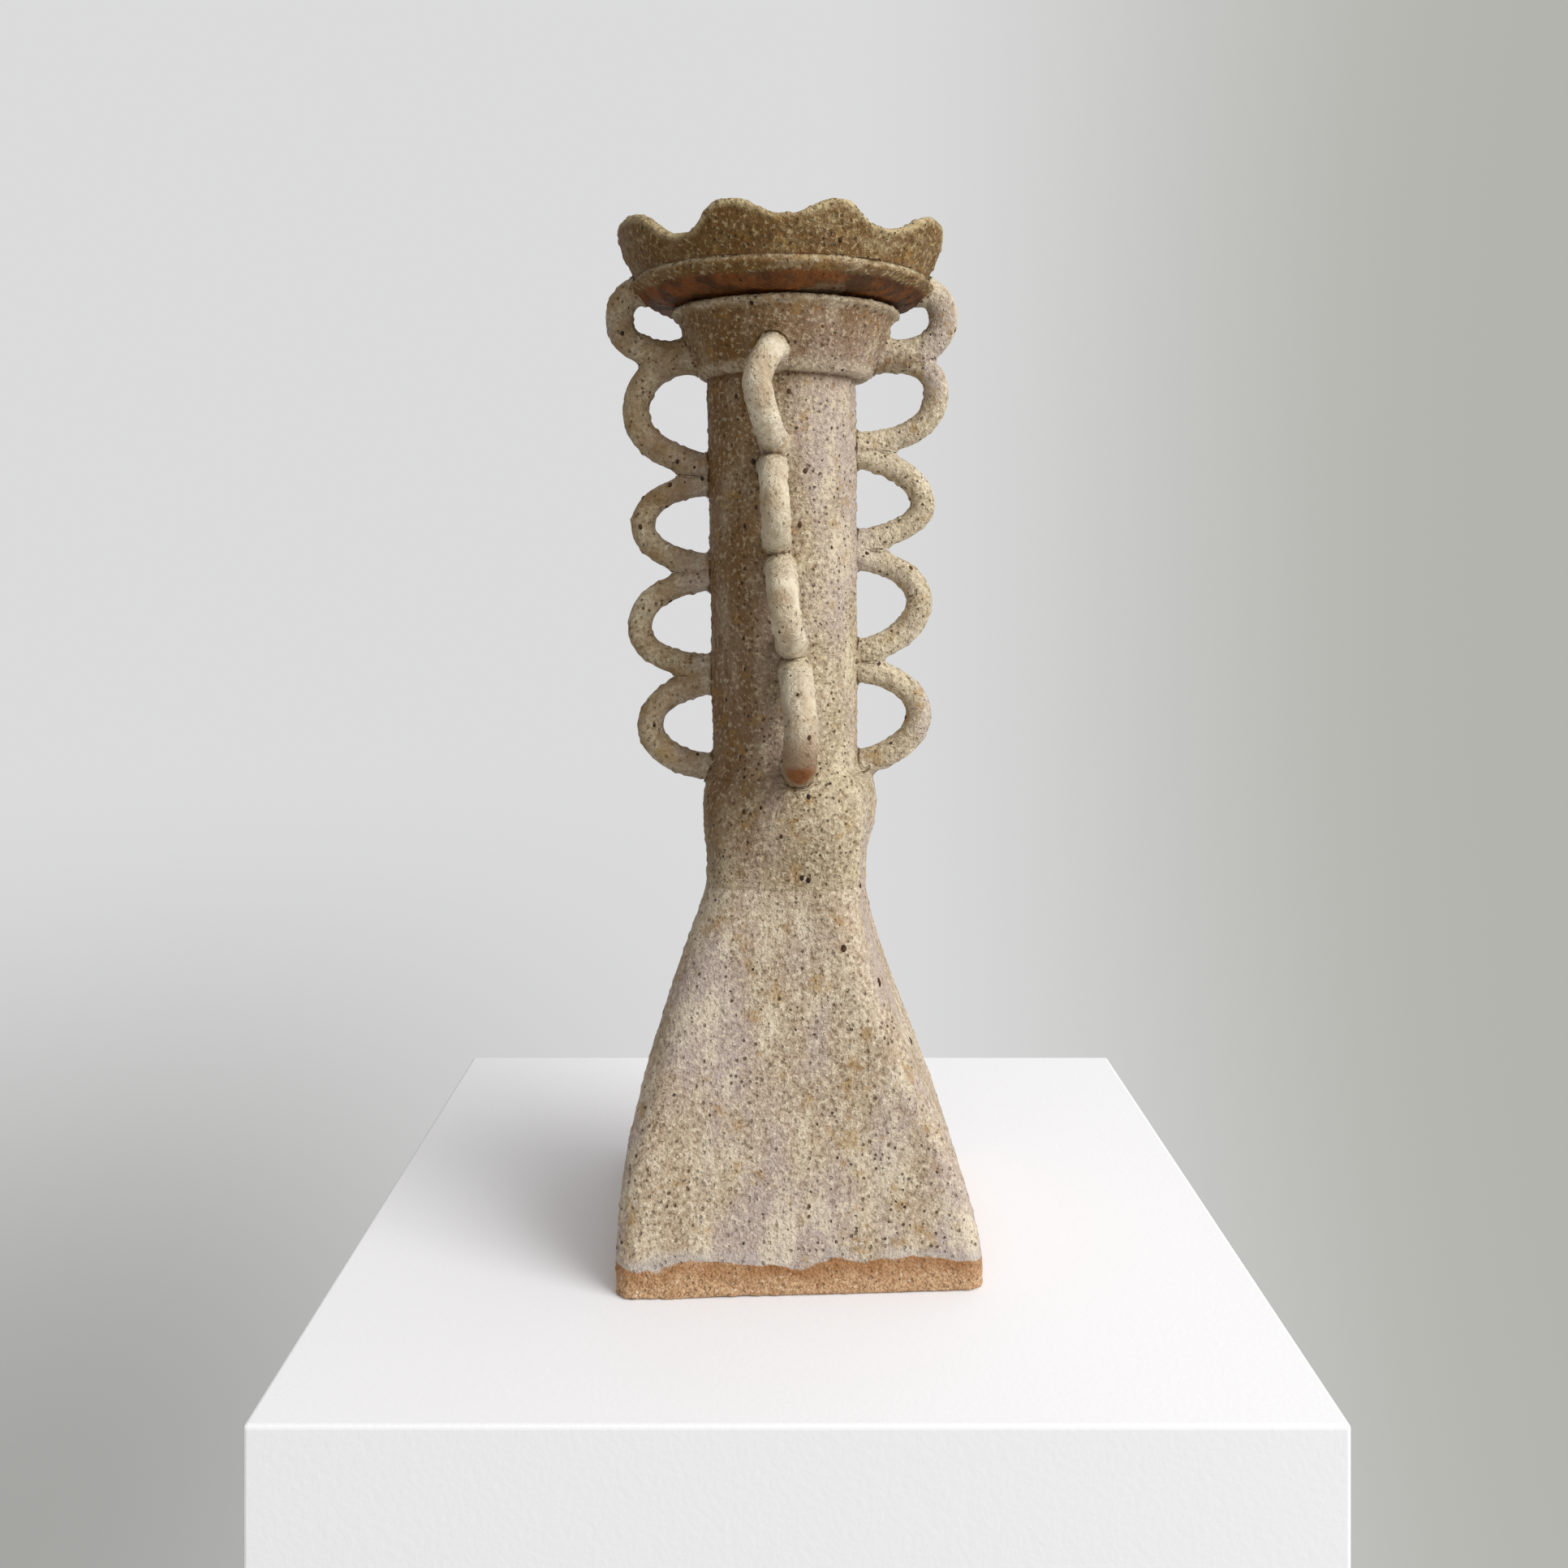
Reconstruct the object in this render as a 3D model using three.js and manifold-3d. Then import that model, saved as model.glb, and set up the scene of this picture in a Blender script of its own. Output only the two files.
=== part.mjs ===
// A hand-built stoneware chalice: four slabs make a tapering square foot, and a pinched knuckle, a
// column, a flared collar, a bowl and a scalloped crown stand on it, luted one on the next with slip.
// Rows of coil loops run down the column's four sides. Each loop's arms seat in the piece that they meet
// and in the loop above.
// Millimetres, +Z up, and the front looks along -Y. The origin is on the ground under the column's top.

import * as THREE from 'three';
import { mergeVertices } from 'three/addons/utils/BufferGeometryUtils.js';
import Module from 'manifold-3d';

const wasm = await Module();
wasm.setup();

// Every joint is a thin bed of slip between two pieces.
const slip = 0.3;

// The foot. Its four hips curve down from the neck to the ground; places in plan are [x, y], and the
// corners run anticlockwise from the front left. The high and low places steer each hip's curve.
const footHeight = 124;
const slabThickness = 6;
const hipHighHandle = 84;
const hipLowHandle = 36;
const hips = [
  { neck: [-26, -27], high: [-42, -38], low: [-58, -53], ground: [-54, -64], neckRound: 14, groundRound: 7 },
  { neck: [26, -29], high: [27, -37], low: [70, -52], ground: [66, -57], neckRound: 12, groundRound: 6 },
  { neck: [32, 28], high: [36, 38], low: [64, 56], ground: [67, 58], neckRound: 12, groundRound: 6 },
  { neck: [-25, 29], high: [-38, 38], low: [-56, 54], ground: [-53, 62], neckRound: 14, groundRound: 7 },
];

// The knuckle: square where it meets the foot, round where the column stands on it.
const knuckleHeight = 37;
const knuckleRadius = 31;
const knuckleCentre = [3.3, 0];
const knuckleSwell = 1.8;
const knuckleShoulder = 2.6;

// The column: a rolled slab closed into a tube, a little narrower and further right at its base.
const columnHeight = 141;
const columnTopRadius = 27.2;
const columnBaseRadius = 26.3;
const columnWall = 5.5;
const columnBaseCentre = [1.4, 0];

// The collar: a shallow flared cup on the column's top.
const collarHeight = 25;
const collarBaseRadius = 35.5;
const collarWaistRadius = 38.2;
const collarRimRadius = 41.6;
const collarWall = 4.4;
const collarFloor = 5;
const collarCentre = [1.4, 0];

// The bowl: a round cup that stands in the collar, under a wide flange with a rolled lip.
const bowlDepth = 26;
const bowlCupRadius = 33;
const bowlWall = 5.2;
const flangeRadius = 54.8;
const flangeDrop = 6;
const lipThickness = 4.6;

// The crown: a flared wall on the flange, cut into scallops. Each lobe has the angle of its peak from
// the front, positive to the right, its height over the flange, and the depth of the valley after it.
const crownBaseRadius = 52.4;
const crownFlare = 7.2;
const crownWall = 4.2;
const lobes = [
  { at: -80, peak: 19, valley: 10.5 },
  { at: -18, peak: 15.8, valley: 4.2 },
  { at: 19, peak: 15.8, valley: 6.4 },
  { at: 70, peak: 16.8, valley: 7 },
  { at: 116, peak: 16, valley: 6.5 },
  { at: 157, peak: 17, valley: 7 },
  { at: 200, peak: 15.8, valley: 6 },
  { at: 240, peak: 16.5, valley: 5.5 },
];

// The loops. A row hangs down one side: side is the angle from the front, positive to the right. Its
// loops share the height from the collar to the knuckle in proportion to their spans. standOut is how
// far a loop's outer edge stands off the column, belly is how far down its span that outermost point
// is, full is how square its shoulders are, and sway is how far aside its top and bottom arms lie. An
// arm's slant lowers or lifts the way it leaves the wall.
const gripOnCollar = 11.4;
const gripOnKnuckle = 0.8;
const armPress = 0.75;
const armSwell = 0.14;
const rows = [
  {
    name: 'left',
    side: -90,
    loops: [
      { span: 46.6, thick: 10, standOut: 30.6, belly: 0.47, full: 0.56, slant: [-1, 4], sway: [0, 0.5] },
      { span: 35.2, thick: 8.9, standOut: 27.4, belly: 0.5, full: 0.56, slant: [-1, 1], sway: [0.5, 0] },
      { span: 37, thick: 8.9, standOut: 28.8, belly: 0.56, full: 0.6, slant: [-2, 0], sway: [0, -0.5] },
      { span: 37.2, thick: 9.4, standOut: 25.2, belly: 0.53, full: 0.55, slant: [-3, 0], sway: [-0.5, 0] },
    ],
  },
  {
    name: 'front',
    side: 0,
    loops: [
      { span: 41.7, thick: 9.6, standOut: 28, belly: 0.42, full: 0.58, slant: [0, 2], sway: [-5, -3] },
      { span: 33.3, thick: 9, standOut: 26, belly: 0.5, full: 0.56, slant: [0, 1], sway: [-2, -0.5] },
      { span: 34.7, thick: 9.6, standOut: 26, belly: 0.5, full: 0.56, slant: [0, 1], sway: [0.5, 3] },
      { span: 40.5, thick: 10.4, standOut: 27, belly: 0.55, full: 0.56, slant: [0, 0], sway: [5, 6.5] },
    ],
  },
  {
    name: 'right',
    side: 90,
    loops: [
      { span: 34.6, thick: 8.8, standOut: 33.4, belly: 0.42, full: 0.66, slant: [0, 0], sway: [0, 0] },
      { span: 35.5, thick: 9, standOut: 28.6, belly: 0.55, full: 0.52, slant: [-1, 2], sway: [0, 0.5] },
      { span: 39.5, thick: 9.4, standOut: 27.6, belly: 0.46, full: 0.54, slant: [-1, 3], sway: [0.5, -0.5] },
      { span: 39.3, thick: 9.4, standOut: 27.2, belly: 0.46, full: 0.54, slant: [-1, 3], sway: [-0.5, 0] },
    ],
  },
  {
    name: 'back',
    side: 180,
    loops: [
      { span: 40, thick: 9.6, standOut: 29, belly: 0.45, full: 0.58, slant: [-1, 2], sway: [2, 0.5] },
      { span: 35, thick: 9, standOut: 27, belly: 0.52, full: 0.56, slant: [-1, 1], sway: [0, -1] },
      { span: 37, thick: 9.2, standOut: 27.5, belly: 0.5, full: 0.55, slant: [-1, 2], sway: [-1, 0] },
      { span: 39, thick: 9.6, standOut: 26.5, belly: 0.54, full: 0.55, slant: [-2, 1], sway: [0.5, 2] },
    ],
  },
];

// One more loop on the left and on the right ties the flange to the collar.
const tieThickness = 10.4;
const tieStandOut = 9.8;
const tieBelly = 0.47;
const tieRows = ['left', 'right'];

// Facets.
const turns = 44;
const crownTurns = 72;
const coilSides = 8;
const coilSteps = 14;

// Heights that follow from the sizes above.
const knuckleBase = footHeight + slip;
const knuckleTop = knuckleBase + knuckleHeight;
const columnBase = knuckleTop + slip;
const columnTop = columnBase + columnHeight;
const collarBase = columnTop + slip;
const collarRim = collarBase + collarHeight;
const bowlBase = collarBase + collarFloor + slip;
const flangeUnder = bowlBase + bowlDepth - flangeDrop;
const flangeTop = bowlBase + bowlDepth + lipThickness;
const crownBase = flangeTop + slip;

const clay = {
  glaze: { color: 0xb9a685, roughness: 0.72 },
  brownGlaze: { color: 0x8f7753, roughness: 0.7 },
  bare: { color: 0xc08a5a, roughness: 0.9 },
};
const chalice = new THREE.Group();
chalice.name = 'chalice';

function addPiece(name, geometry, look) {
  const mesh = new THREE.Mesh(geometry, new THREE.MeshStandardMaterial({ ...look, metalness: 0 }));
  mesh.name = name;
  chalice.add(mesh);
  return mesh;
}

// Solids and booleans.

function solidOf(geometry) {
  const bare = geometry.index ? geometry.toNonIndexed() : geometry.clone();
  const places = new THREE.BufferGeometry();
  places.setAttribute('position', bare.getAttribute('position'));
  const merged = mergeVertices(places, 1e-3);
  const mesh = new wasm.Mesh({
    numProp: 3,
    vertProperties: merged.attributes.position.array,
    triVerts: new Uint32Array(merged.index.array),
  });
  return new wasm.Manifold(mesh);
}

function geometryOf(solid) {
  const { vertProperties, triVerts } = solid.getMesh();
  const geometry = new THREE.BufferGeometry();
  geometry.setAttribute('position', new THREE.BufferAttribute(vertProperties, 3));
  geometry.setIndex(new THREE.BufferAttribute(triVerts, 1));
  geometry.computeVertexNormals();
  return geometry;
}

// The closed surface through rows of points, each row a ring. The last row joins the first when the
// rows go round, and otherwise the two end rows are capped.
function skin(ringRows, goesRound) {
  const across = ringRows[0].length;
  const count = ringRows.length;
  const places = ringRows.flat().flatMap((p) => [p.x, p.y, p.z]);
  const faces = [];
  for (let i = 0; i < (goesRound ? count : count - 1); i++) {
    for (let j = 0; j < across; j++) {
      const a = i * across + j;
      const b = i * across + ((j + 1) % across);
      const c = ((i + 1) % count) * across + ((j + 1) % across);
      const d = ((i + 1) % count) * across + j;
      faces.push(a, b, c, a, c, d);
    }
  }
  if (!goesRound) {
    for (const [a, b, c] of capOf(ringRows[0])) faces.push(c, b, a);
    const last = (count - 1) * across;
    for (const [a, b, c] of capOf(ringRows[count - 1])) faces.push(last + a, last + b, last + c);
  }
  const geometry = new THREE.BufferGeometry();
  geometry.setAttribute('position', new THREE.Float32BufferAttribute(places, 3));
  geometry.setIndex(faces);
  geometry.computeVertexNormals();
  return geometry;
}

// A flat ring's triangles, turning the way that the ring does.
function capOf(ring) {
  const middle = ring.reduce((sum, p) => sum.add(p), new THREE.Vector3()).divideScalar(ring.length);
  const normal = new THREE.Vector3();
  ring.forEach((p, i) => {
    const next = ring[(i + 1) % ring.length];
    normal.add(p.clone().sub(middle).cross(next.clone().sub(middle)));
  });
  normal.normalize();
  const along = ring[0].clone().sub(middle);
  along.addScaledVector(normal, -along.dot(normal)).normalize();
  const aside = normal.clone().cross(along);
  const flat = ring.map((p) => {
    const arm = p.clone().sub(middle);
    return new THREE.Vector2(arm.dot(along), arm.dot(aside));
  });
  return THREE.ShapeUtils.triangulateShape(flat, []);
}

// A turned piece about an upright axis at a place in plan. The profile is [radius, height] points.
function turned(profile, [x, y], steps = turns) {
  const points = profile.map(([r, z]) => new THREE.Vector2(r, z));
  return new THREE.LatheGeometry(points, steps).rotateX(Math.PI / 2).translate(x, y, 0);
}

// The points of a smooth curve through a few profile points.
function smooth(points, steps) {
  const curve = new THREE.SplineCurve(points.map(([r, z]) => new THREE.Vector2(r, z)));
  return curve.getPoints(steps).map((p) => [p.x, p.y]);
}

// The foot.

function hipAt(hip, t) {
  const curve = new THREE.CubicBezierCurve3(
    new THREE.Vector3(...hip.neck, footHeight),
    new THREE.Vector3(...hip.high, hipHighHandle),
    new THREE.Vector3(...hip.low, hipLowHandle),
    new THREE.Vector3(...hip.ground, 0),
  );
  return curve.getPoint(t);
}

// The four corners at a share t of the way down, with the walls moved in by inset.
function cornersAt(t, inset) {
  const corners = hips.map((hip) => hipAt(hip, t));
  const edges = corners.map((p, i) => {
    const next = corners[(i + 1) % corners.length];
    const along = new THREE.Vector2(next.x - p.x, next.y - p.y).normalize();
    const inward = new THREE.Vector2(-along.y, along.x);
    return { along, start: new THREE.Vector2(p.x, p.y).addScaledVector(inward, inset) };
  });
  return corners.map((p, i) => {
    const before = edges[(i + edges.length - 1) % edges.length];
    const after = edges[i];
    const gap = after.start.clone().sub(before.start);
    const reach = gap.cross(after.along) / before.along.cross(after.along);
    const place = before.start.clone().addScaledVector(before.along, reach);
    const round = THREE.MathUtils.lerp(hips[i].neckRound, hips[i].groundRound, t) - inset;
    return { place, height: p.z, round: Math.max(round, 1) };
  });
}

// The arc round corner i, as points from the wall before it to the wall after it.
const arcSteps = 6;
function arcOf(corners, i) {
  const { place, height, round } = corners[i];
  const before = corners[(i + corners.length - 1) % corners.length].place;
  const after = corners[(i + 1) % corners.length].place;
  const toBefore = before.clone().sub(place).normalize();
  const toAfter = after.clone().sub(place).normalize();
  const half = Math.acos(toBefore.dot(toAfter)) / 2;
  const bisector = toBefore.clone().add(toAfter).normalize();
  const centre = place.clone().addScaledVector(bisector, round / Math.sin(half));
  const from = place.clone().addScaledVector(toBefore, round / Math.tan(half)).sub(centre);
  const sweep = Math.PI - 2 * half;
  return Array.from({ length: arcSteps + 1 }, (_, k) => {
    const p = from.clone().rotateAround(new THREE.Vector2(), (sweep * k) / arcSteps).add(centre);
    return new THREE.Vector3(p.x, p.y, height);
  });
}

// One wall line of panel i, from the middle of one corner's arc to the middle of the next one's, held
// back half a bed of slip at both mitres.
const flatSteps = 4;
function wallLine(corners, i) {
  const near = arcOf(corners, i).slice(arcSteps / 2);
  const far = arcOf(corners, (i + 1) % corners.length).slice(0, arcSteps / 2 + 1);
  const start = near[near.length - 1];
  const end = far[0];
  const flat = Array.from({ length: flatSteps - 1 }, (_, k) => start.clone().lerp(end, (k + 1) / flatSteps));
  const line = [...near, ...flat, ...far];
  const along = end.clone().sub(start).normalize();
  line[0].addScaledVector(along, slip / 2 / Math.SQRT1_2);
  line[line.length - 1].addScaledVector(along, -slip / 2 / Math.SQRT1_2);
  return line;
}

const footLevels = 10;
function footPanel(i) {
  const sections = Array.from({ length: footLevels + 1 }, (_, k) => {
    const t = 1 - k / footLevels;
    const outer = wallLine(cornersAt(t, 0), i);
    const inner = wallLine(cornersAt(t, slabThickness), i).reverse();
    return [...outer, ...inner];
  });
  return skin(sections, false);
}

// The knuckle.

// The whole ring at the foot's neck, and its points' directions from the middle.
function neckRing(inset) {
  const corners = cornersAt(0, inset);
  return corners.flatMap((_, i) => {
    const arc = arcOf(corners, i);
    const next = arcOf(corners, (i + 1) % corners.length)[0];
    const flat = [1, 2, 3].map((k) => arc[arcSteps].clone().lerp(next, k / flatSteps));
    return [...arc, ...flat];
  });
}

// The ring at a share s up the knuckle, between the square neck and a circle, grown outward.
function knuckleRing(s, inset, radius, centre, grow) {
  const neck = neckRing(inset);
  const middle = neck.reduce((sum, p) => sum.add(p), new THREE.Vector3()).divideScalar(neck.length);
  const round = THREE.MathUtils.smoothstep(s, 0, 1);
  return neck.map((p) => {
    const out = new THREE.Vector3(p.x - middle.x, p.y - middle.y, 0).normalize();
    const onCircle = new THREE.Vector3(centre[0], centre[1], 0).addScaledVector(out, radius);
    const place = p.clone().setZ(0).lerp(onCircle, round).addScaledVector(out, grow);
    return place.setZ(knuckleBase + s * knuckleHeight);
  });
}

function knuckleOuter(s, grow) {
  const swell = knuckleSwell * Math.sin(Math.PI * s) - knuckleShoulder * s ** 8;
  return knuckleRing(s, 0, knuckleRadius, knuckleCentre, swell + grow);
}

const knuckleShares = [0, 0.12, 0.28, 0.45, 0.62, 0.78, 0.88, 0.95, 1];
function knuckle() {
  const bore = columnBaseRadius - columnWall;
  const outside = knuckleShares.map((s) => knuckleOuter(s, 0));
  const inside = knuckleShares.filter((_, k) => k % 2 === 0).reverse();
  return skin([...outside, ...inside.map((s) => knuckleRing(s, slabThickness, bore, columnBaseCentre, 0))], true);
}

// The column, leaning from its base centre to the axis.

function columnRadiusAt(z) {
  return THREE.MathUtils.mapLinear(z, columnBase, columnTop, columnBaseRadius, columnTopRadius);
}

function columnCentreAt(z) {
  const rise = (columnTop - z) / columnHeight;
  return [columnBaseCentre[0] * rise, columnBaseCentre[1] * rise];
}

function lean(geometry) {
  const place = geometry.attributes.position;
  for (let i = 0; i < place.count; i++) {
    const [x, y] = columnCentreAt(place.getZ(i));
    place.setXY(i, place.getX(i) + x, place.getY(i) + y);
  }
  return geometry;
}

function column() {
  const outer = [columnBase, columnTop].map((z) => [columnRadiusAt(z), z]);
  const inner = [columnTop, columnBase].map((z) => [columnRadiusAt(z) - columnWall, z]);
  return lean(turned([...outer, ...inner, outer[0]], [0, 0]));
}

// The collar.

function collarOuter(grow) {
  const wall = smooth(
    [
      [columnTopRadius + grow, collarBase - grow],
      [collarBaseRadius - 2.2 + grow, collarBase + 0.6 - grow],
      [collarBaseRadius + 1 + grow, collarBase + 5],
      [collarWaistRadius + grow, collarBase + collarHeight * 0.6],
      [collarRimRadius + 0.6 + grow, collarRim - 2.6],
      [collarRimRadius - 0.4 + grow, collarRim + grow],
    ],
    10,
  );
  return [[0, collarBase - grow], ...wall];
}

function collar() {
  const floor = collarBase + collarFloor;
  const cup = smooth(
    [
      [collarRimRadius - 1.6, collarRim],
      [collarRimRadius - collarWall + 0.6, collarRim - 2.4],
      [collarWaistRadius - collarWall, collarBase + collarHeight * 0.6],
      [collarBaseRadius - collarWall + 0.8, floor + 2.2],
      [collarBaseRadius - collarWall - 4, floor],
    ],
    6,
  );
  return turned([...collarOuter(0), ...cup, [0, floor]], collarCentre);
}

// The bowl.

function bowlOuter(grow) {
  const foot = [
    [0, bowlBase - grow],
    [bowlCupRadius * 0.5, bowlBase - grow],
  ];
  const under = smooth(
    [
      [bowlCupRadius * 0.66 + grow, bowlBase + 1.8 - grow],
      [bowlCupRadius * 0.95 + grow, bowlBase + bowlDepth * 0.5],
      [bowlCupRadius + 4 + grow, flangeUnder - grow],
      [(bowlCupRadius + flangeRadius) / 2 + 2, flangeUnder + flangeDrop * 0.22 - grow],
      [flangeRadius - 1.8 + grow, flangeUnder + flangeDrop - grow],
      [flangeRadius + grow, flangeTop - lipThickness * 0.62],
      [flangeRadius - 1.2 + grow, flangeTop - 1.2 + grow],
      [crownBaseRadius + grow, flangeTop + grow],
    ],
    14,
  );
  return [...foot, ...under];
}

function bowl() {
  const floor = bowlBase + bowlWall;
  const hollow = smooth(
    [
      [crownBaseRadius - crownWall - 0.6, flangeTop],
      [(bowlCupRadius + flangeRadius) / 2 - 1, flangeUnder + flangeDrop * 0.22 + bowlWall],
      [bowlCupRadius - 1, flangeUnder + bowlWall - 3.4],
      [bowlCupRadius * 0.95 - bowlWall, bowlBase + bowlDepth * 0.5 + 1],
      [bowlCupRadius * 0.5, floor + 0.8],
      [bowlCupRadius * 0.25, floor],
    ],
    8,
  );
  return turned([...bowlOuter(0), ...hollow, [0, floor]], [0, 0]);
}

// The crown.

// The lip's height over the flange at an angle from the front.
function lipHeight(angle) {
  const turn = THREE.MathUtils.euclideanModulo(angle - lobes[0].at, 360) + lobes[0].at;
  const i = lobes.findLastIndex((lobe) => lobe.at <= turn);
  const here = lobes[i];
  const next = lobes[(i + 1) % lobes.length];
  const nextAt = i + 1 < lobes.length ? next.at : next.at + 360;
  const share = (turn - here.at) / (nextAt - here.at);
  const ridge = THREE.MathUtils.lerp(here.peak, next.peak, share);
  return ridge - here.valley * Math.sin(Math.PI * share) ** 1.6;
}

// The wall's outer radius at a height over the flange: it flares early and then stands up.
function crownRadius(height) {
  const reach = Math.max(...lobes.map((lobe) => lobe.peak));
  return crownBaseRadius + crownFlare * Math.sin((Math.PI / 2) * Math.min(height / reach, 1)) ** 0.9;
}

// The wall's section at an angle from the front, from its foot inside over the round lip to its foot
// outside.
const crownLevels = 4;
function crownProfile(angle, grow) {
  const round = crownWall / 2 + grow;
  const shoulder = lipHeight(angle) - crownWall / 2;
  const heights = Array.from({ length: crownLevels + 1 }, (_, k) => (shoulder * k) / crownLevels);
  const middles = heights.map((z) => [crownRadius(z) - crownWall / 2, z]);
  const [ridgeRadius] = middles[crownLevels];
  const ridge = [-45, 0, 45].map((turn) => {
    const lean = THREE.MathUtils.degToRad(turn);
    return [ridgeRadius + round * Math.sin(lean), shoulder + round * Math.cos(lean)];
  });
  middles[0][1] -= grow;
  const inside = middles.map(([r, z]) => [r - round, z]);
  const outside = middles.map(([r, z]) => [r + round, z]);
  return [...inside, ...ridge, ...outside.reverse()];
}

function crown(grow) {
  const sections = Array.from({ length: crownTurns }, (_, k) => {
    const angle = (360 * k) / crownTurns;
    const turn = THREE.MathUtils.degToRad(angle);
    const out = new THREE.Vector3(Math.sin(turn), -Math.cos(turn), 0);
    return crownProfile(angle, grow).map(([r, z]) => out.clone().multiplyScalar(r).setZ(crownBase + z));
  });
  return skin(sections, true);
}

// The loops.

// A coil of clay along a path, a little thicker where its arms meet the wall.
function coil(path, thickness, aside, grow) {
  const sections = [];
  for (let k = 0; k <= coilSteps; k++) {
    const u = k / coilSteps;
    const middle = path.getPointAt(u);
    const along = path.getTangentAt(u);
    const out = along.clone().cross(aside).normalize();
    const side = along.clone().cross(out);
    const swell = 1 + armSwell * Math.cos(Math.PI * u) ** 6;
    const radius = (thickness / 2) * swell + grow;
    const ring = Array.from({ length: coilSides }, (_, j) => {
      const turn = (2 * Math.PI * (j + 0.5)) / coilSides;
      return middle
        .clone()
        .addScaledVector(out, radius * Math.cos(turn))
        .addScaledVector(side, radius * Math.sin(turn));
    });
    sections.push(ring);
  }
  return skin(sections, false);
}

// A D-shaped path from a top root to a bottom root, out past an outermost point. Places are
// [distance from the axis, height], turned to the side given, with sway aside.
function loopPath({ topRoot, bottomRoot, outermost, full, slant, sway, side, centre }) {
  const turn = (side * Math.PI) / 180;
  const out = new THREE.Vector3(Math.sin(turn), -Math.cos(turn), 0);
  const aside = new THREE.Vector3(Math.cos(turn), Math.sin(turn), 0);
  const place = (r, z) => {
    const down = THREE.MathUtils.clamp((topRoot[1] - z) / (topRoot[1] - bottomRoot[1]), 0, 1);
    const swayed = THREE.MathUtils.lerp(sway[0], sway[1], down);
    return new THREE.Vector3(...centre, z).addScaledVector(out, r).addScaledVector(aside, swayed);
  };
  const [reach, belly] = outermost;
  const path = new THREE.CurvePath();
  path.add(
    new THREE.CubicBezierCurve3(
      place(...topRoot),
      place(THREE.MathUtils.lerp(topRoot[0], reach, full), topRoot[1] + slant[0]),
      place(reach, THREE.MathUtils.lerp(belly, topRoot[1], full)),
      place(reach, belly),
    ),
  );
  path.add(
    new THREE.CubicBezierCurve3(
      place(reach, belly),
      place(reach, THREE.MathUtils.lerp(belly, bottomRoot[1], full)),
      place(THREE.MathUtils.lerp(bottomRoot[0], reach, full), bottomRoot[1] + slant[1]),
      place(...bottomRoot),
    ),
  );
  return { path, aside };
}

// What the loops seat in: the outside of each piece, without its hollow, one bed of slip larger.
const seats = [
  solidOf(skin(knuckleShares.map((s) => knuckleOuter(s, slip)), false)),
  solidOf(
    lean(
      turned(
        [
          [0, columnBase],
          [columnBaseRadius + slip, columnBase],
          [columnTopRadius + slip, columnTop],
          [0, columnTop],
        ],
        [0, 0],
      ),
    ),
  ),
  solidOf(turned([...collarOuter(slip), [0, collarRim + slip]], collarCentre)),
  solidOf(turned([...bowlOuter(slip), [0, flangeTop + slip]], [0, 0])),
  solidOf(crown(slip)),
];

function addLoop(name, shape, thickness, above) {
  const { path, aside } = loopPath(shape);
  let solid = solidOf(coil(path, thickness, aside, 0));
  for (const seat of above ? [...seats, above] : seats) solid = solid.subtract(seat);
  const loop = solid.decompose().reduce((most, part) => (part.volume() > most.volume() ? part : most));
  addPiece(name, geometryOf(loop), clay.glaze);
  return solidOf(coil(path, thickness, aside, slip));
}

// A root starts inside the wall, so that the seat's cut gives the arm its saddle.
const rootInset = 3;

function addTie(row, topOfRow) {
  const sinks = tieThickness / 2 - armPress;
  const topRoot = [flangeRadius - 5, flangeTop - lipThickness / 2];
  const bottomRoot = [collarWaistRadius - rootInset, topOfRow + sinks * 0.6];
  const outermost = [
    flangeRadius + tieStandOut - tieThickness / 2,
    THREE.MathUtils.lerp(topRoot[1], bottomRoot[1], tieBelly),
  ];
  const shape = {
    topRoot, bottomRoot, outermost, full: 0.62, slant: [-1, 0], sway: [0, 0], side: row.side, centre: [0, 0],
  };
  return addLoop(`loop_${row.name}_1`, shape, tieThickness);
}

function addRow(row) {
  const rowTop = columnTop + gripOnCollar;
  const rowBottom = columnBase - gripOnKnuckle;
  const share = (rowTop - rowBottom) / row.loops.reduce((sum, loop) => sum + loop.span, 0);
  const tied = tieRows.includes(row.name);
  let above = tied ? addTie(row, rowTop) : undefined;
  let top = rowTop;
  row.loops.forEach((loop, k) => {
    const bottom = top - loop.span * share;
    const sinks = loop.thick / 2 - armPress;
    const [topHeight, bottomHeight] = [top - sinks, bottom + sinks];
    const wallAt = (z) => (z > columnTop ? collarBaseRadius : columnRadiusAt(Math.max(z, columnBase)));
    const shape = {
      topRoot: [wallAt(topHeight) - rootInset, topHeight],
      bottomRoot: [wallAt(bottomHeight) - rootInset, bottomHeight],
      outermost: [columnTopRadius + loop.standOut - loop.thick / 2, THREE.MathUtils.lerp(top, bottom, loop.belly)],
      full: loop.full,
      slant: loop.slant,
      sway: loop.sway,
      side: row.side,
      centre: [0, 0],
    };
    above = addLoop(`loop_${row.name}_${k + (tied ? 2 : 1)}`, shape, loop.thick, above);
    top = bottom;
  });
}

// The pieces, from the ground up.
['front', 'right', 'back', 'left'].forEach((side, i) => {
  addPiece(`foot_panel_${side}`, footPanel(i), clay.glaze);
});
addPiece('knuckle', knuckle(), clay.glaze);
addPiece('column', column(), clay.glaze);
addPiece('collar', collar(), clay.glaze);
addPiece('bowl', bowl(), clay.brownGlaze);
addPiece('crown', crown(0), clay.brownGlaze);
rows.forEach(addRow);

export default chalice;
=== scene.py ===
"""A hand-built stoneware chalice on a white plinth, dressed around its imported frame.

Shapes are worked out in millimetres, in the frame's own axes, and turned to metres as a mesh is made.
"""

import math

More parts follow.
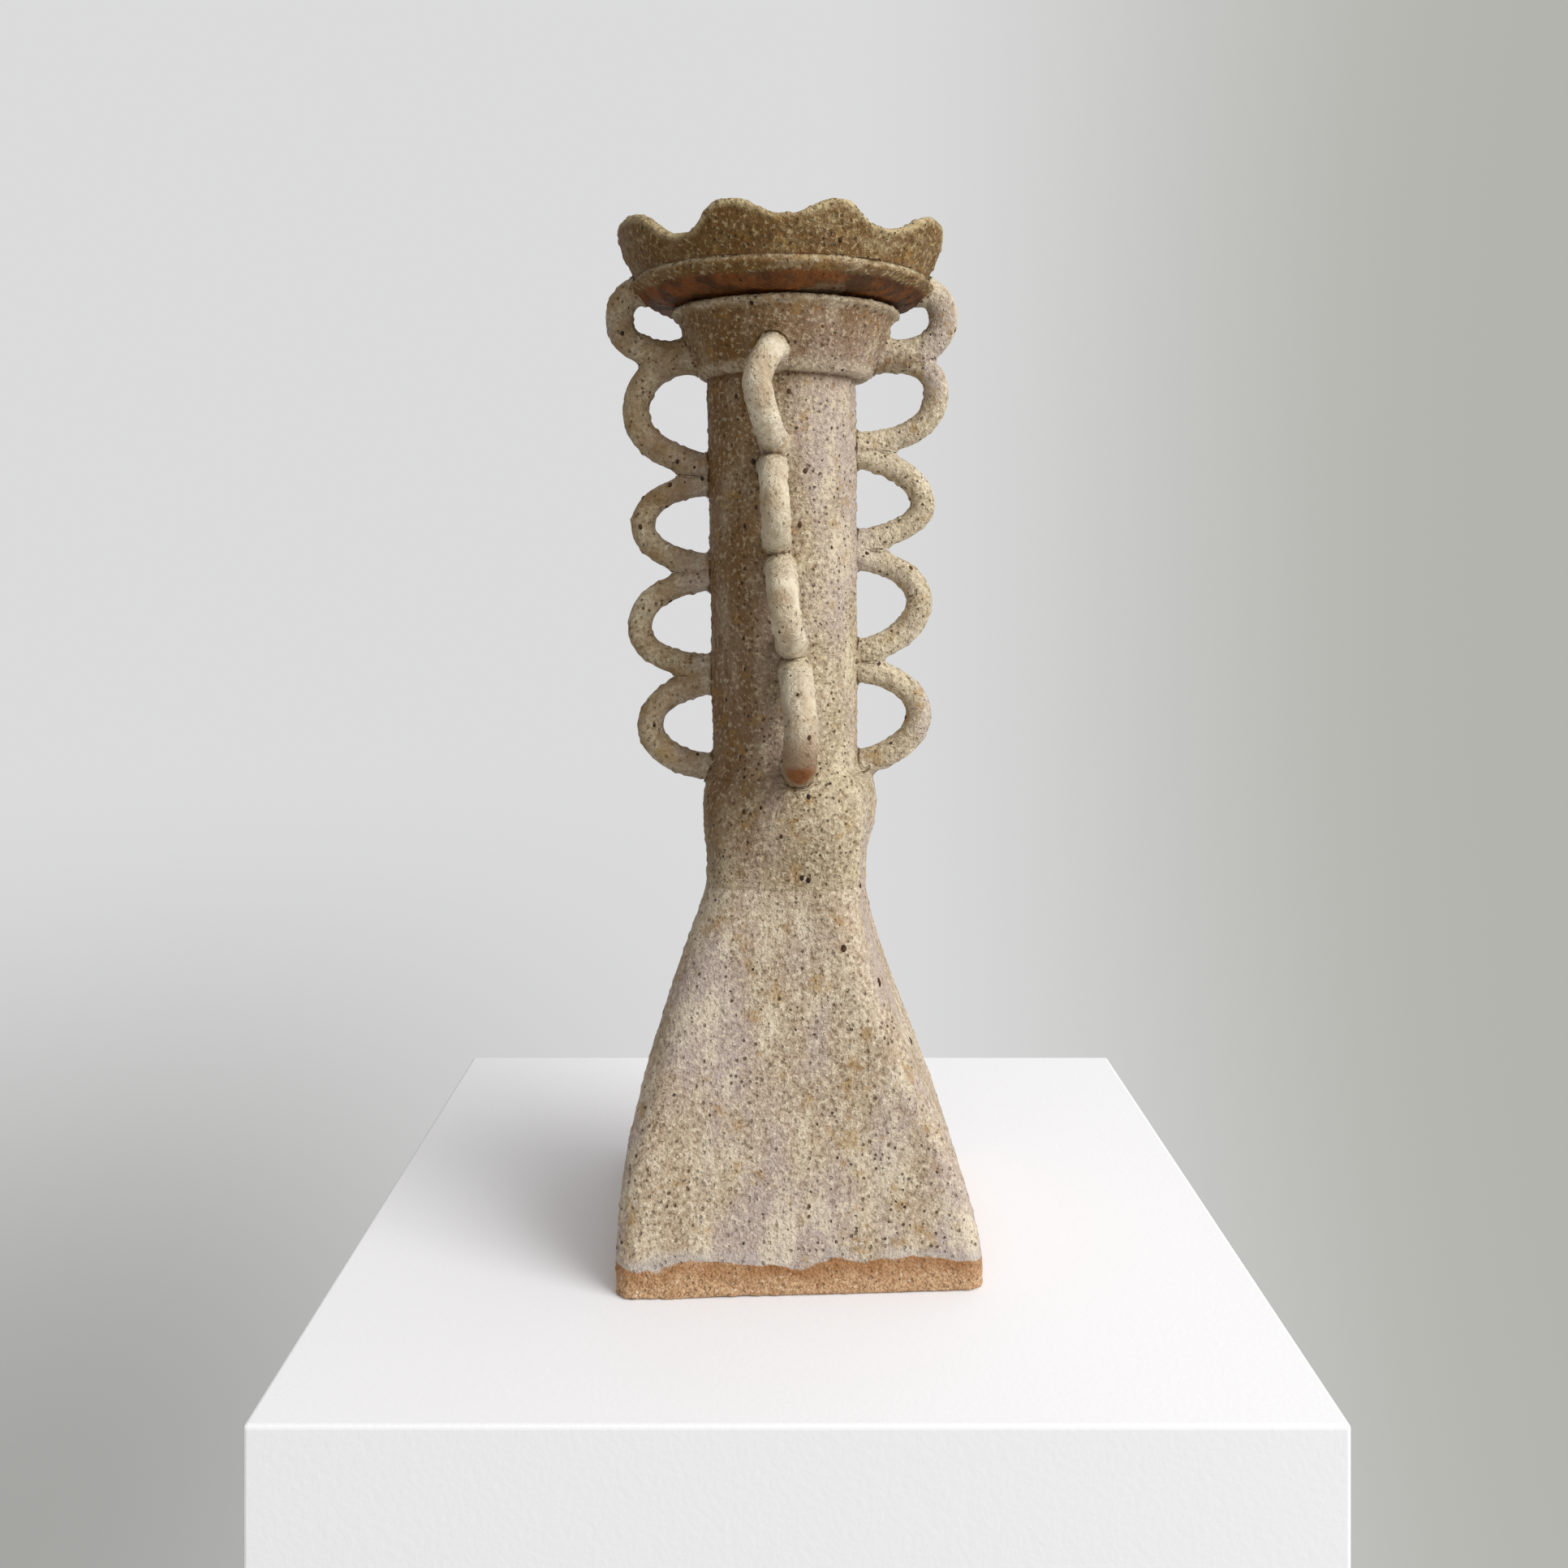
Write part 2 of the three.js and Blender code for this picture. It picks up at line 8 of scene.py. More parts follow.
import bpy
import numpy as np
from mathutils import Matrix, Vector


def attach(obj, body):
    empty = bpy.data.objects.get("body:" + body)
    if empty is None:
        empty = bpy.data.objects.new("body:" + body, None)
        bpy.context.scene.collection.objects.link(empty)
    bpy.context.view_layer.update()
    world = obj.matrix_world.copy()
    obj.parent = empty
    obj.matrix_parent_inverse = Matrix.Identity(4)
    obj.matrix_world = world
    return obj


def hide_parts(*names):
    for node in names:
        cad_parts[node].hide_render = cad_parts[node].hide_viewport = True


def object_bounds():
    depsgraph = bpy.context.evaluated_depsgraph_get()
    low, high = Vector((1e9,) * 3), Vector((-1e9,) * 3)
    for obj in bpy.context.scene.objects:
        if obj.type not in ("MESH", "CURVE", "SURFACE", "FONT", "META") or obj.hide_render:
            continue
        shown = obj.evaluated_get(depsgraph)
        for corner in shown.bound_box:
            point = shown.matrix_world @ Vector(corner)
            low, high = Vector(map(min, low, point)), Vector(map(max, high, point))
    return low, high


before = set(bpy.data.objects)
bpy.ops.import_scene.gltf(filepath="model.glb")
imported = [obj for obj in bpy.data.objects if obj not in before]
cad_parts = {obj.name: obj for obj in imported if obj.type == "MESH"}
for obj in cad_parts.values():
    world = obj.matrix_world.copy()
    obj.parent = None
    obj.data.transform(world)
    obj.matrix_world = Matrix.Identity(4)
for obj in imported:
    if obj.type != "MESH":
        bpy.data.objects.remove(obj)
cad_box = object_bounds()

MM = 0.001

# The pieces' sizes: the solids' own, but for a few millimetres where the photograph asks for them. SLIP is
# the bed of slip between two pieces.
SLIP = 0.3
FOOT_HEIGHT = 124.0
SLAB = 6.0
# Each hip of the foot curves down from the neck to the ground, steered by a high and a low place. They run
# anticlockwise from the front left, with the rounding at the neck and at the ground.
HIP_HIGH, HIP_LOW = 84.0, 36.0
HIPS = [
    {"neck": (-26, -27), "high": (-42, -38), "low": (-58, -53), "ground": (-54, -64), "rounds": (14, 7)},
    {"neck": (26, -29), "high": (27, -37), "low": (70, -52), "ground": (66, -57), "rounds": (12, 6)},
    {"neck": (32, 28), "high": (36, 38), "low": (64, 56), "ground": (67, 58), "rounds": (12, 6)},
    {"neck": (-25, 29), "high": (-38, 38), "low": (-56, 54), "ground": (-53, 62), "rounds": (14, 7)},
]
KNUCKLE_HEIGHT = 37.0
KNUCKLE_RADIUS, KNUCKLE_CENTRE = 31.0, (3.3, 0.0)
KNUCKLE_SWELL, KNUCKLE_SHOULDER = 1.8, 2.6
COLUMN_HEIGHT = 141.0
COLUMN_TOP_RADIUS, COLUMN_BASE_RADIUS, COLUMN_WALL = 27.2, 26.3, 5.5
COLUMN_BASE_CENTRE = (1.4, 0.0)
COLLAR_HEIGHT = 25.0
COLLAR_BASE, COLLAR_WAIST, COLLAR_RIM = 35.5, 38.2, 41.6
COLLAR_ROLL = 31.2
COLLAR_WALL, COLLAR_FLOOR = 4.4, 5.0
COLLAR_CENTRE = (1.4, 0.0)
BOWL_DEPTH, BOWL_CUP, BOWL_WALL = 26.0, 33.0, 5.2
FLANGE_RADIUS, FLANGE_DROP, LIP = 54.8, 6.0, 4.6
CROWN_BASE, CROWN_FLARE, CROWN_WALL = 52.4, 7.2, 4.2
# Each scallop of the crown: the angle of its peak from the front, positive to the right, its height over the
# flange, the depth of the valley after it, and a power that leans that valley to one side.
LOBES = [
    (-80, 19, 9.3, 1.87), (-18, 17.2, 4.9, 0.95), (21, 17.2, 7.1, 0.66), (70, 17.8, 7, 1),
    (116, 16.5, 6.5, 1.2), (157, 17.2, 7, 0.9), (200, 16.4, 6, 1.1), (240, 17, 5.5, 1),
]
# How much of the way from a peak to the next valley is the peak's broad top, and how much is its side.
LOBE_TOP, LOBE_SIDE = 0.16, 0.74

KNUCKLE_FOOT = FOOT_HEIGHT + SLIP
KNUCKLE_TOP = KNUCKLE_FOOT + KNUCKLE_HEIGHT
COLUMN_FOOT = KNUCKLE_TOP + SLIP
COLUMN_TOP = COLUMN_FOOT + COLUMN_HEIGHT
COLLAR_FOOT = COLUMN_TOP + SLIP
COLLAR_TOP = COLLAR_FOOT + COLLAR_HEIGHT
BOWL_FOOT = COLLAR_FOOT + COLLAR_FLOOR + SLIP
FLANGE_UNDER = BOWL_FOOT + BOWL_DEPTH - FLANGE_DROP
FLANGE_TOP = BOWL_FOOT + BOWL_DEPTH + LIP
CROWN_FOOT = FLANGE_TOP + SLIP

# The rows of loops: each loop's span, thickness, stand-off from the column, belly, fullness, the slants
# of its two arms, and how far aside its top, belly and foot lie. Two arms are pressed together where they
# meet, and each is rooted a little way inside the wall.
GRIP_ON_COLLAR, GRIP_ON_KNUCKLE = 11.4, 0.8
ARM_PRESS, FRONT_PRESS, ARM_SWELL, ROOT_INSET, COLLAR_REACH = 2.5, 1.0, 0.03, 3.0, 6.0
ROWS = {
    "left": (-90, [
        (46.6, 10, 30.6, 0.47, 0.56, (-1, 4), (0, 0.2, 0.5)),
        (35.2, 8.9, 27.4, 0.5, 0.56, (-1, 1), (0.5, 0.2, 0)),
        (37, 8.9, 28.8, 0.56, 0.6, (-2, 0), (0, -0.2, -0.5)),
        (37.2, 9.4, 25.2, 0.53, 0.55, (-3, 0), (-0.5, -0.2, 0)),
    ]),
    "front": (0, [
        (39.2, 10, 28, 0.42, 0.58, (0, 2), (-3.1, -8.4, -2)),
        (33.4, 9.8, 26, 0.5, 0.56, (0, 1), (-3, -2.2, -1.6)),
        (35.2, 10.7, 26.5, 0.5, 0.56, (0, 1), (-0.3, 0.8, 3.7)),
        (42.4, 11.3, 27.4, 0.55, 0.56, (0, 0), (4.8, 6.4, 5.9)),
    ]),
    "right": (90, [
        (34.6, 8.8, 33.4, 0.42, 0.66, (0, 0), (0, 0, 0)),
        (35.5, 9, 28.6, 0.55, 0.52, (-1, 2), (0, 0.2, 0.5)),
        (39.5, 9.4, 27.6, 0.46, 0.54, (-1, 3), (0.5, 0, -0.5)),
        (39.3, 9.4, 27.2, 0.46, 0.54, (-1, 3), (-0.5, -0.2, 0)),
    ]),
    "back": (180, [
        (40, 10, 29, 0.45, 0.58, (-1, 2), (2, 4, 0.5)),
        (35, 9.8, 27, 0.52, 0.56, (-1, 1), (0, 0.4, -1)),
        (37, 10.4, 27.5, 0.5, 0.55, (-1, 2), (-1, -0.8, 0)),
        (39, 10.8, 26.5, 0.54, 0.55, (-2, 1), (0.5, 1.6, 2)),
    ]),
}
TIED_ROWS = ("left", "right")
TIE_THICKNESS, TIE_STAND_OUT, TIE_BELLY, TIE_DROP = 10.4, 9.3, 0.47, 1.8

# How finely a surface is divided, and how far slip is smeared over a joint: where a coil meets a wall,
# where two coils meet at the sides and in the front and back rows, and where two big pieces meet.
STEP, COIL_SIDES = 0.9, 36
WALL_SMEAR, COIL_SMEAR, FRONT_SMEAR, RIM_SMEAR, NECK_SMEAR = 2.4, 3.6, 1.2, 2.0, 5.0


# Curves and profiles

def bezier(points, t):
    a, b, c, d = (np.asarray(p, float) for p in points)
    t = np.asarray(t, float)[..., None]
    return (1 - t) ** 3 * a + 3 * (1 - t) ** 2 * t * b + 3 * (1 - t) * t ** 2 * c + t ** 3 * d


def spline(points, steps):
    """Points of the smooth curve through the given ones."""
    points = np.asarray(points, float)
    padded = np.vstack([points[:1], points, points[-1:]])
    at = np.linspace(0, len(points) - 1, steps)
    i = np.minimum(at.astype(int), len(points) - 2)
    t = (at - i)[:, None]
    p0, p1, p2, p3 = padded[i], padded[i + 1], padded[i + 2], padded[i + 3]
    v0, v1 = (p2 - p0) / 2, (p3 - p1) / 2
    return (2 * p1 - 2 * p2 + v0 + v1) * t ** 3 + (3 * p2 - 3 * p1 - 2 * v0 - v1) * t ** 2 + v0 * t + p1


def evenly(points, step):
    """The same line with its points at even distances."""
    points = np.asarray(points, float)
    run = np.concatenate([[0], np.cumsum(np.linalg.norm(np.diff(points, axis=0), axis=1))])
    at = np.linspace(0, run[-1], max(2, int(round(run[-1] / step)) + 1))
    return np.stack([np.interp(at, run, points[:, k]) for k in range(points.shape[1])], 1)


def smooth_share(s):
    s = np.clip(s, 0, 1)
    return s * s * (3 - 2 * s)


# Meshes

def mesh_object(name, points, faces, edges=()):
    mesh = bpy.data.meshes.new(name)
    mesh.from_pydata((np.asarray(points) * MM).tolist(), edges, [list(map(int, face)) for face in faces])
    mesh.update()
    thing = bpy.data.objects.new(name, mesh)
    bpy.context.scene.collection.objects.link(thing)
    return thing


def quads(rows, around, closes):
    """The faces between rings of points, each ring running anticlockwise."""
    row = np.arange(rows if closes else rows - 1)[:, None]
    col = np.arange(around)[None, :]
    above = (row + 1) % rows
    beside = (col + 1) % around
    corners = [row * around + col, row * around + beside, above * around + beside, above * around + col]
    return np.stack([c + 0 * (row + col) for c in corners], -1).reshape(-1, 4)


def looped(name, rows):
    """A closed skin through rows of rings, the last of which joins the first."""
    rings = np.asarray([ring for part in rows for ring in part])
    return mesh_object(name, rings.reshape(-1, 3), quads(len(rings), rings.shape[1], True))


def turned_points(profile, centre, around):
    """Rings of a piece turned about an upright axis, from a profile that starts and ends on it."""
    angle = np.linspace(0, 2 * np.pi, around, endpoint=False)
    body = np.asarray(profile)[1:-1]
    x = centre[0] + body[:, :1] * np.cos(angle)
    y = centre[1] + body[:, :1] * np.sin(angle)
    return np.stack([x, y, body[:, 1:] + 0 * angle], -1)


def turned(name, rings, profile, centre):
    """The closed skin of a turned piece, with a fan of faces at each end of its profile."""
    rows, around = rings.shape[:2]
    points = np.vstack([rings.reshape(-1, 3), [[*centre, profile[0][1]], [*centre, profile[-1][1]]]])
    faces = quads(rows, around, False).tolist()
    count = rows * around
    for j in range(around):
        beside = (j + 1) % around
        faces.append([count, beside, j])
        faces.append([count + 1, count - around + j, count - around + beside])
    return mesh_object(name, points, faces)


def points_of(thing):
    places = np.empty(len(thing.data.vertices) * 3)
    thing.data.vertices.foreach_get("co", places)
    return places.reshape(-1, 3) / MM


def move_points(thing, points):
    thing.data.vertices.foreach_set("co", (points * MM).ravel())
    thing.data.update()


# The foot and the knuckle

ARC_POINTS = 20
WALL_POINTS = 84


def cross(a, b):
    return a[0] * b[1] - a[1] * b[0]


def hip_line(hip, t):
    """The points of a hip at shares t of the way down."""
    return bezier([
        (*hip["neck"], FOOT_HEIGHT), (*hip["high"], HIP_HIGH), (*hip["low"], HIP_LOW), (*hip["ground"], 0),
    ], t)


def foot_ring(t, inset=0.0):
    """The ring round the foot at a share t of the way down, with its walls moved in by inset."""
    corners = np.array([hip_line(hip, t) for hip in HIPS])
    plan = corners[:, :2]
    along = np.roll(plan, -1, axis=0) - plan
    along /= np.linalg.norm(along, axis=1)[:, None]
    start = plan + inset * np.stack([-along[:, 1], along[:, 0]], 1)
    places = np.array([
        start[i - 1] + along[i - 1] * cross(start[i] - start[i - 1], along[i]) / cross(along[i - 1], along[i])
        for i in range(4)
    ])
    arcs = []
    for i, hip in enumerate(HIPS):
        radius = max(np.interp(t, [0, 1], hip["rounds"]) - inset, 1)
        to_before, to_after = -along[i - 1], along[i]
        half = math.acos(np.dot(to_before, to_after)) / 2
        bisector = (to_before + to_after) / np.linalg.norm(to_before + to_after)
        centre = places[i] + bisector * radius / math.sin(half)
        spoke = places[i] + to_before * radius / math.tan(half) - centre
        turn = (math.pi - 2 * half) * np.arange(ARC_POINTS + 1) / ARC_POINTS
        arcs.append(centre + np.stack([
            spoke[0] * np.cos(turn) - spoke[1] * np.sin(turn),
            spoke[0] * np.sin(turn) + spoke[1] * np.cos(turn),
        ], 1))
    ring = []
    for i in range(4):
        share = np.arange(1, WALL_POINTS)[:, None] / WALL_POINTS
        ring += [arcs[i], arcs[i][-1] * (1 - share) + arcs[(i + 1) % 4][0] * share]
    ring = np.vstack(ring)
    return np.column_stack([ring, np.full(len(ring), corners[0][2])])


def knuckle_ring(s, inset, radius, centre, grow):
    """The ring at a share s up the knuckle, between the square neck and a circle."""
    neck = foot_ring(0.0, inset)
    middle = neck.mean(axis=0)[:2]
    out = neck[:, :2] - middle
    out /= np.linalg.norm(out, axis=1)[:, None]
    share = smooth_share(s)
    place = neck[:, :2] * (1 - share) + (np.array(centre) + out * radius) * share + out * grow
    return np.column_stack([place, np.full(len(place), KNUCKLE_FOOT + s * KNUCKLE_HEIGHT)])


def knuckle_outer(s):
    swell = KNUCKLE_SWELL * math.sin(math.pi * s) - KNUCKLE_SHOULDER * s ** 8
    return knuckle_ring(s, 0.0, KNUCKLE_RADIUS, KNUCKLE_CENTRE, swell)


def carried_on(edge, before, tucks):
    """Rings that carry a skin on past its edge, along its own slope and tucked in under its neighbour's."""
    step = edge - before
    step *= STEP / np.linalg.norm(step, axis=1)[:, None]
    inward = edge.mean(axis=0) - edge
    inward[:, 2] = 0
    inward /= np.linalg.norm(inward, axis=1)[:, None]
    return [edge + (k + 1) * step + tuck * inward for k, tuck in enumerate(tucks)]


# How far in each ring of such a skin is tucked, one after the other.
TUCKS = (0.12, 0.45, 1.2)


def foot_rows():
    """The foot's outside, from the rounding of its ground edge up, and its inside, down."""
    ground = [foot_ring(1, inset) + (0, 0, lift) for inset, lift in ((1.3, 0), (0.4, 0.3))]
    outer = [foot_ring(t) for t in np.linspace(0.993, 0, int(FOOT_HEIGHT / STEP))]
    inner = [foot_ring(t, SLAB) for t in np.linspace(0, 1, 36)]
    return ground + outer, inner


def knuckle_rows():
    """The knuckle's outside with the ledge under the column, and its bore, down."""
    bore = COLUMN_BASE_RADIUS - COLUMN_WALL
    outer = [knuckle_outer(s) for s in np.linspace(0, 1, int(KNUCKLE_HEIGHT / STEP))]
    ledge = [
        knuckle_ring(1, 0.0, KNUCKLE_RADIUS, KNUCKLE_CENTRE, -KNUCKLE_SHOULDER - inset)
        for inset in (0.7, 1.4)
    ]
    inner = [knuckle_ring(s, SLAB, bore, COLUMN_BASE_CENTRE, 0.0) for s in np.linspace(1, 0, 12)]
    return outer, ledge, inner


# The turned pieces' profiles

def collar_profile():
    """A cup that flares from a rolled foot to a rim turned sharply out."""
    outer = spline([
        (COLUMN_TOP_RADIUS + 0.6, COLLAR_FOOT), (COLLAR_ROLL - 1, COLLAR_FOOT + 0.5),
        (COLLAR_ROLL + 0.9, COLLAR_FOOT + 3.2), (COLLAR_ROLL + 2.5, COLLAR_FOOT + 7),
        (COLLAR_WAIST - 2.2, COLLAR_FOOT + 12), (COLLAR_WAIST - 0.5, COLLAR_FOOT + 17),
        (COLLAR_WAIST + 0.1, COLLAR_TOP - 5), (COLLAR_RIM - 1.9, COLLAR_TOP - 3),
        (COLLAR_RIM, COLLAR_TOP - 1.8), (COLLAR_RIM - 0.7, COLLAR_TOP),
    ], 90)
    floor = COLLAR_FOOT + COLLAR_FLOOR
    inner = spline([
        (COLLAR_RIM - 1.9, COLLAR_TOP), (COLLAR_RIM - COLLAR_WALL + 0.3, COLLAR_TOP - 2.4),
        (COLLAR_WAIST - COLLAR_WALL, COLLAR_FOOT + COLLAR_HEIGHT * 0.6),
        (COLLAR_ROLL - 1.4, floor + 2.6), (COLLAR_ROLL - COLLAR_WALL - 3, floor),
    ], 40)
    return [(0, COLLAR_FOOT), *outer, *inner, (0, floor)]


def bowl_profile():
    half_way = (BOWL_CUP + FLANGE_RADIUS) / 2
    under = spline([
        (BOWL_CUP * 0.66, BOWL_FOOT + 1.8), (BOWL_CUP * 0.95, BOWL_FOOT + BOWL_DEPTH * 0.5),
        (BOWL_CUP + 4, FLANGE_UNDER), (half_way + 2, FLANGE_UNDER + FLANGE_DROP * 0.22),
        (FLANGE_RADIUS - 1.8, FLANGE_UNDER + FLANGE_DROP), (FLANGE_RADIUS, FLANGE_TOP - LIP * 0.62),
        (FLANGE_RADIUS - 1.2, FLANGE_TOP - 1.2), (CROWN_BASE, FLANGE_TOP),
    ], 90)
    floor = BOWL_FOOT + BOWL_WALL
    hollow = spline([
        (CROWN_BASE - CROWN_WALL - 0.6, FLANGE_TOP),
        (half_way - 1, FLANGE_UNDER + FLANGE_DROP * 0.22 + BOWL_WALL),
        (BOWL_CUP - 1, FLANGE_UNDER + BOWL_WALL - 3.4),
        (BOWL_CUP * 0.95 - BOWL_WALL, BOWL_FOOT + BOWL_DEPTH * 0.5 + 1),
        (BOWL_CUP * 0.5, floor + 0.8), (BOWL_CUP * 0.25, floor),
    ], 60)
    return [(0, BOWL_FOOT), (BOWL_CUP * 0.5, BOWL_FOOT), *under, *hollow, (0, floor)]


def column_centre(z):
    rise = np.clip((COLUMN_TOP - np.asarray(z, float)) / COLUMN_HEIGHT, 0, 1)
    return COLUMN_BASE_CENTRE[0] * rise, COLUMN_BASE_CENTRE[1] * rise


def column_radius(z):
    return np.interp(z, [COLUMN_FOOT, COLUMN_TOP], [COLUMN_BASE_RADIUS, COLUMN_TOP_RADIUS])


def column_rings(heights, inset):
    angle = np.linspace(0, 2 * np.pi, int(2 * np.pi * COLUMN_TOP_RADIUS / STEP), endpoint=False)
    rings = []
    for z in heights:
        x, y = column_centre(z)
        radius = column_radius(z) - inset
        rings.append(np.column_stack([x + radius * np.cos(angle), y + radius * np.sin(angle), 0 * angle + z]))
    return rings


# The crown

def lip_height(angle):
    """The lip's height over the flange at an angle from the front, in degrees."""
    first = LOBES[0][0]
    turn = (angle - first) % 360 + first
    i = max(k for k, lobe in enumerate(LOBES) if lobe[0] <= turn)
    at, peak, valley, lean = LOBES[i]
    next_at, next_peak = LOBES[(i + 1) % len(LOBES)][:2]
    next_at += 360 if i + 1 == len(LOBES) else 0
    share = (turn - at) / (next_at - at)
    dip = smooth_share((1 - abs(2 * share ** lean - 1) - LOBE_TOP) / LOBE_SIDE)
    return peak + (next_peak - peak) * share - valley * float(dip)


def crown_radius(height):
    reach = max(lobe[1] for lobe in LOBES)
    return CROWN_BASE + CROWN_FLARE * np.sin(np.pi / 2 * np.clip(height / reach, 0, 1)) ** 0.9


def crown_rings():
    around = int(2 * math.pi * (CROWN_BASE + CROWN_FLARE) / STEP)
    half = CROWN_WALL / 2
    rings = []
    for k in range(around):
        angle = 360 * k / around
        shoulder = lip_height(angle) - half
        height = np.linspace(0, shoulder, 16)
        middle = crown_radius(height) - half
        tip = np.radians(np.linspace(-90, 90, 11)[1:-1])
        root = np.array([[middle[0] + half - 0.5, -1.8], [middle[0] + half - 0.15, -0.9]])
        section = np.vstack([
            [[middle[0] - half + 0.5, -1.8], [middle[0] - half + 0.15, -0.9]],
            np.column_stack([middle - half, height]),
            np.column_stack([middle[-1] + half * np.sin(tip), shoulder + half * np.cos(tip)]),
            np.column_stack([middle + half, height])[::-1],
            root[::-1],
        ])
        turn = math.radians(angle)
        rings.append(np.column_stack([
            section[:, 0] * math.sin(turn), -section[:, 0] * math.cos(turn), CROWN_FOOT + section[:, 1],
        ]))
    return rings


# The loops' paths

def loop_path(top_root, bottom_root, outermost, full, slant, sway, side):
    """A D-shaped path from a top root to a bottom root. Places are (distance from the axis, height)."""
    turn = math.radians(side)
    out = np.array([math.sin(turn), -math.cos(turn), 0])
    aside = np.array([math.cos(turn), math.sin(turn), 0])

    def place(r, z):
        down = min(max((top_root[1] - z) / (top_root[1] - bottom_root[1]), 0), 1)
        shares = (1 - down) * (1 - 2 * down), 4 * down * (1 - down), down * (2 * down - 1)
        return out * r + aside * np.dot(sway, shares) + np.array([0, 0, z])

    def between(a, b, share):
        return a + (b - a) * share

    reach, belly = outermost
    t = np.linspace(0, 1, 60)
    upper = bezier([
        place(*top_root), place(between(top_root[0], reach, full), top_root[1] + slant[0]),
        place(reach, between(belly, top_root[1], full)), place(reach, belly),
    ], t)
    lower = bezier([
        place(reach, belly), place(reach, between(belly, bottom_root[1], full)),
        place(between(bottom_root[0], reach, full), bottom_root[1] + slant[1]), place(*bottom_root),
    ], t)
    return evenly(np.vstack([upper, lower[1:]]), STEP)


def rooted(path):
    """The path with its ends in the collar carried on inwards, because the collar narrows downwards."""
    ends = []
    for end, before in ((path[0], path[1]), (path[-1], path[-2])):
        step = (end - before) / np.linalg.norm(end - before)
        in_collar = COLLAR_FOOT < end[2] < COLLAR_TOP
        reach = COLLAR_REACH if in_collar else 0
        ends.append(end + step * np.arange(STEP, reach, STEP)[:, None])
    return np.vstack([ends[0][::-1], path, ends[1]])


def loops():
    """Each loop's name, path and thickness."""
    row_top = COLUMN_TOP + GRIP_ON_COLLAR
    row_bottom = COLUMN_FOOT - GRIP_ON_KNUCKLE
    made = []
    for row, (side, shapes) in ROWS.items():
        number = 1
        if row in TIED_ROWS:
            top_root = (FLANGE_RADIUS - 5, FLANGE_TOP - LIP / 2)
            bottom_root = (COLLAR_WAIST - ROOT_INSET, row_top - TIE_DROP)
            belly = top_root[1] + (bottom_root[1] - top_root[1]) * TIE_BELLY
            outermost = (FLANGE_RADIUS + TIE_STAND_OUT - TIE_THICKNESS / 2, belly)
            path = loop_path(top_root, bottom_root, outermost, 0.62, (-1, 0), (0, 0, 0), side)
            made.append((f"loop_{row}_1", rooted(path), TIE_THICKNESS))
            number = 2
        share = (row_top - row_bottom) / sum(shape[0] for shape in shapes)
        top = row_top
        for span, thick, stand_out, belly, full, slant, sway in shapes:
            bottom = top - span * share
            sinks = thick / 2 - (ARM_PRESS if row in TIED_ROWS else FRONT_PRESS)
            ends = []
            for height in (top - sinks, bottom + sinks):
                wall = COLLAR_BASE if height > COLUMN_TOP else float(column_radius(height))
                ends.append((wall - ROOT_INSET, height))
            outermost = (COLUMN_TOP_RADIUS + stand_out - thick / 2, top + (bottom - top) * belly)
            path = loop_path(*ends, outermost, full, slant, sway, side)
            made.append((f"loop_{row}_{number}", rooted(path), thick))
            number += 1
            top = bottom
    return made


def coil_radii(path, thick):
    share = np.linspace(0, 1, len(path))
    return thick / 2 * (1 + ARM_SWELL * np.cos(np.pi * share) ** 6)


# Distance fields, each negative inside its piece

FAR = 99.0


def ringed_field(rings):
    """The field of a piece that a stack of level rings bounds, from the rings' radius at each angle."""
    heights = np.array([ring[0, 2] for ring in rings])
    centres = np.array([ring[:, :2].mean(axis=0) for ring in rings])
    angles = np.linspace(-np.pi, np.pi, 181)
    radii = []
    for ring, centre in zip(rings, centres):
        spoke = ring[:, :2] - centre
        turn = np.arctan2(spoke[:, 1], spoke[:, 0])
        order = np.argsort(turn)
        radii.append(np.interp(angles, turn[order], np.hypot(*spoke.T)[order], period=2 * np.pi))
    radii = np.array(radii)
    lean = np.gradient(radii, heights, axis=0)

    def field(p):
        row = np.clip(np.interp(p[:, 2], heights, np.arange(len(heights))), 0, len(heights) - 1.001)
        centre = np.stack([np.interp(p[:, 2], heights, centres[:, k]) for k in (0, 1)], 1)
        spoke = p[:, :2] - centre
        col = (np.arctan2(spoke[:, 1], spoke[:, 0]) + np.pi) / (2 * np.pi) * 180
        col = np.clip(col, 0, 179.999)
        i, j = row.astype(int), col.astype(int)
        u, v = row - i, col - j

        def read(table):
            near = table[i, j] * (1 - v) + table[i, j + 1] * v
            far = table[i + 1, j] * (1 - v) + table[i + 1, j + 1] * v
            return near * (1 - u) + far * u

        wall = (np.hypot(*spoke.T) - read(radii)) / np.sqrt(1 + read(lean) ** 2)
        return np.maximum(wall, np.maximum(p[:, 2] - heights[-1], heights[0] - p[:, 2]))

    return field


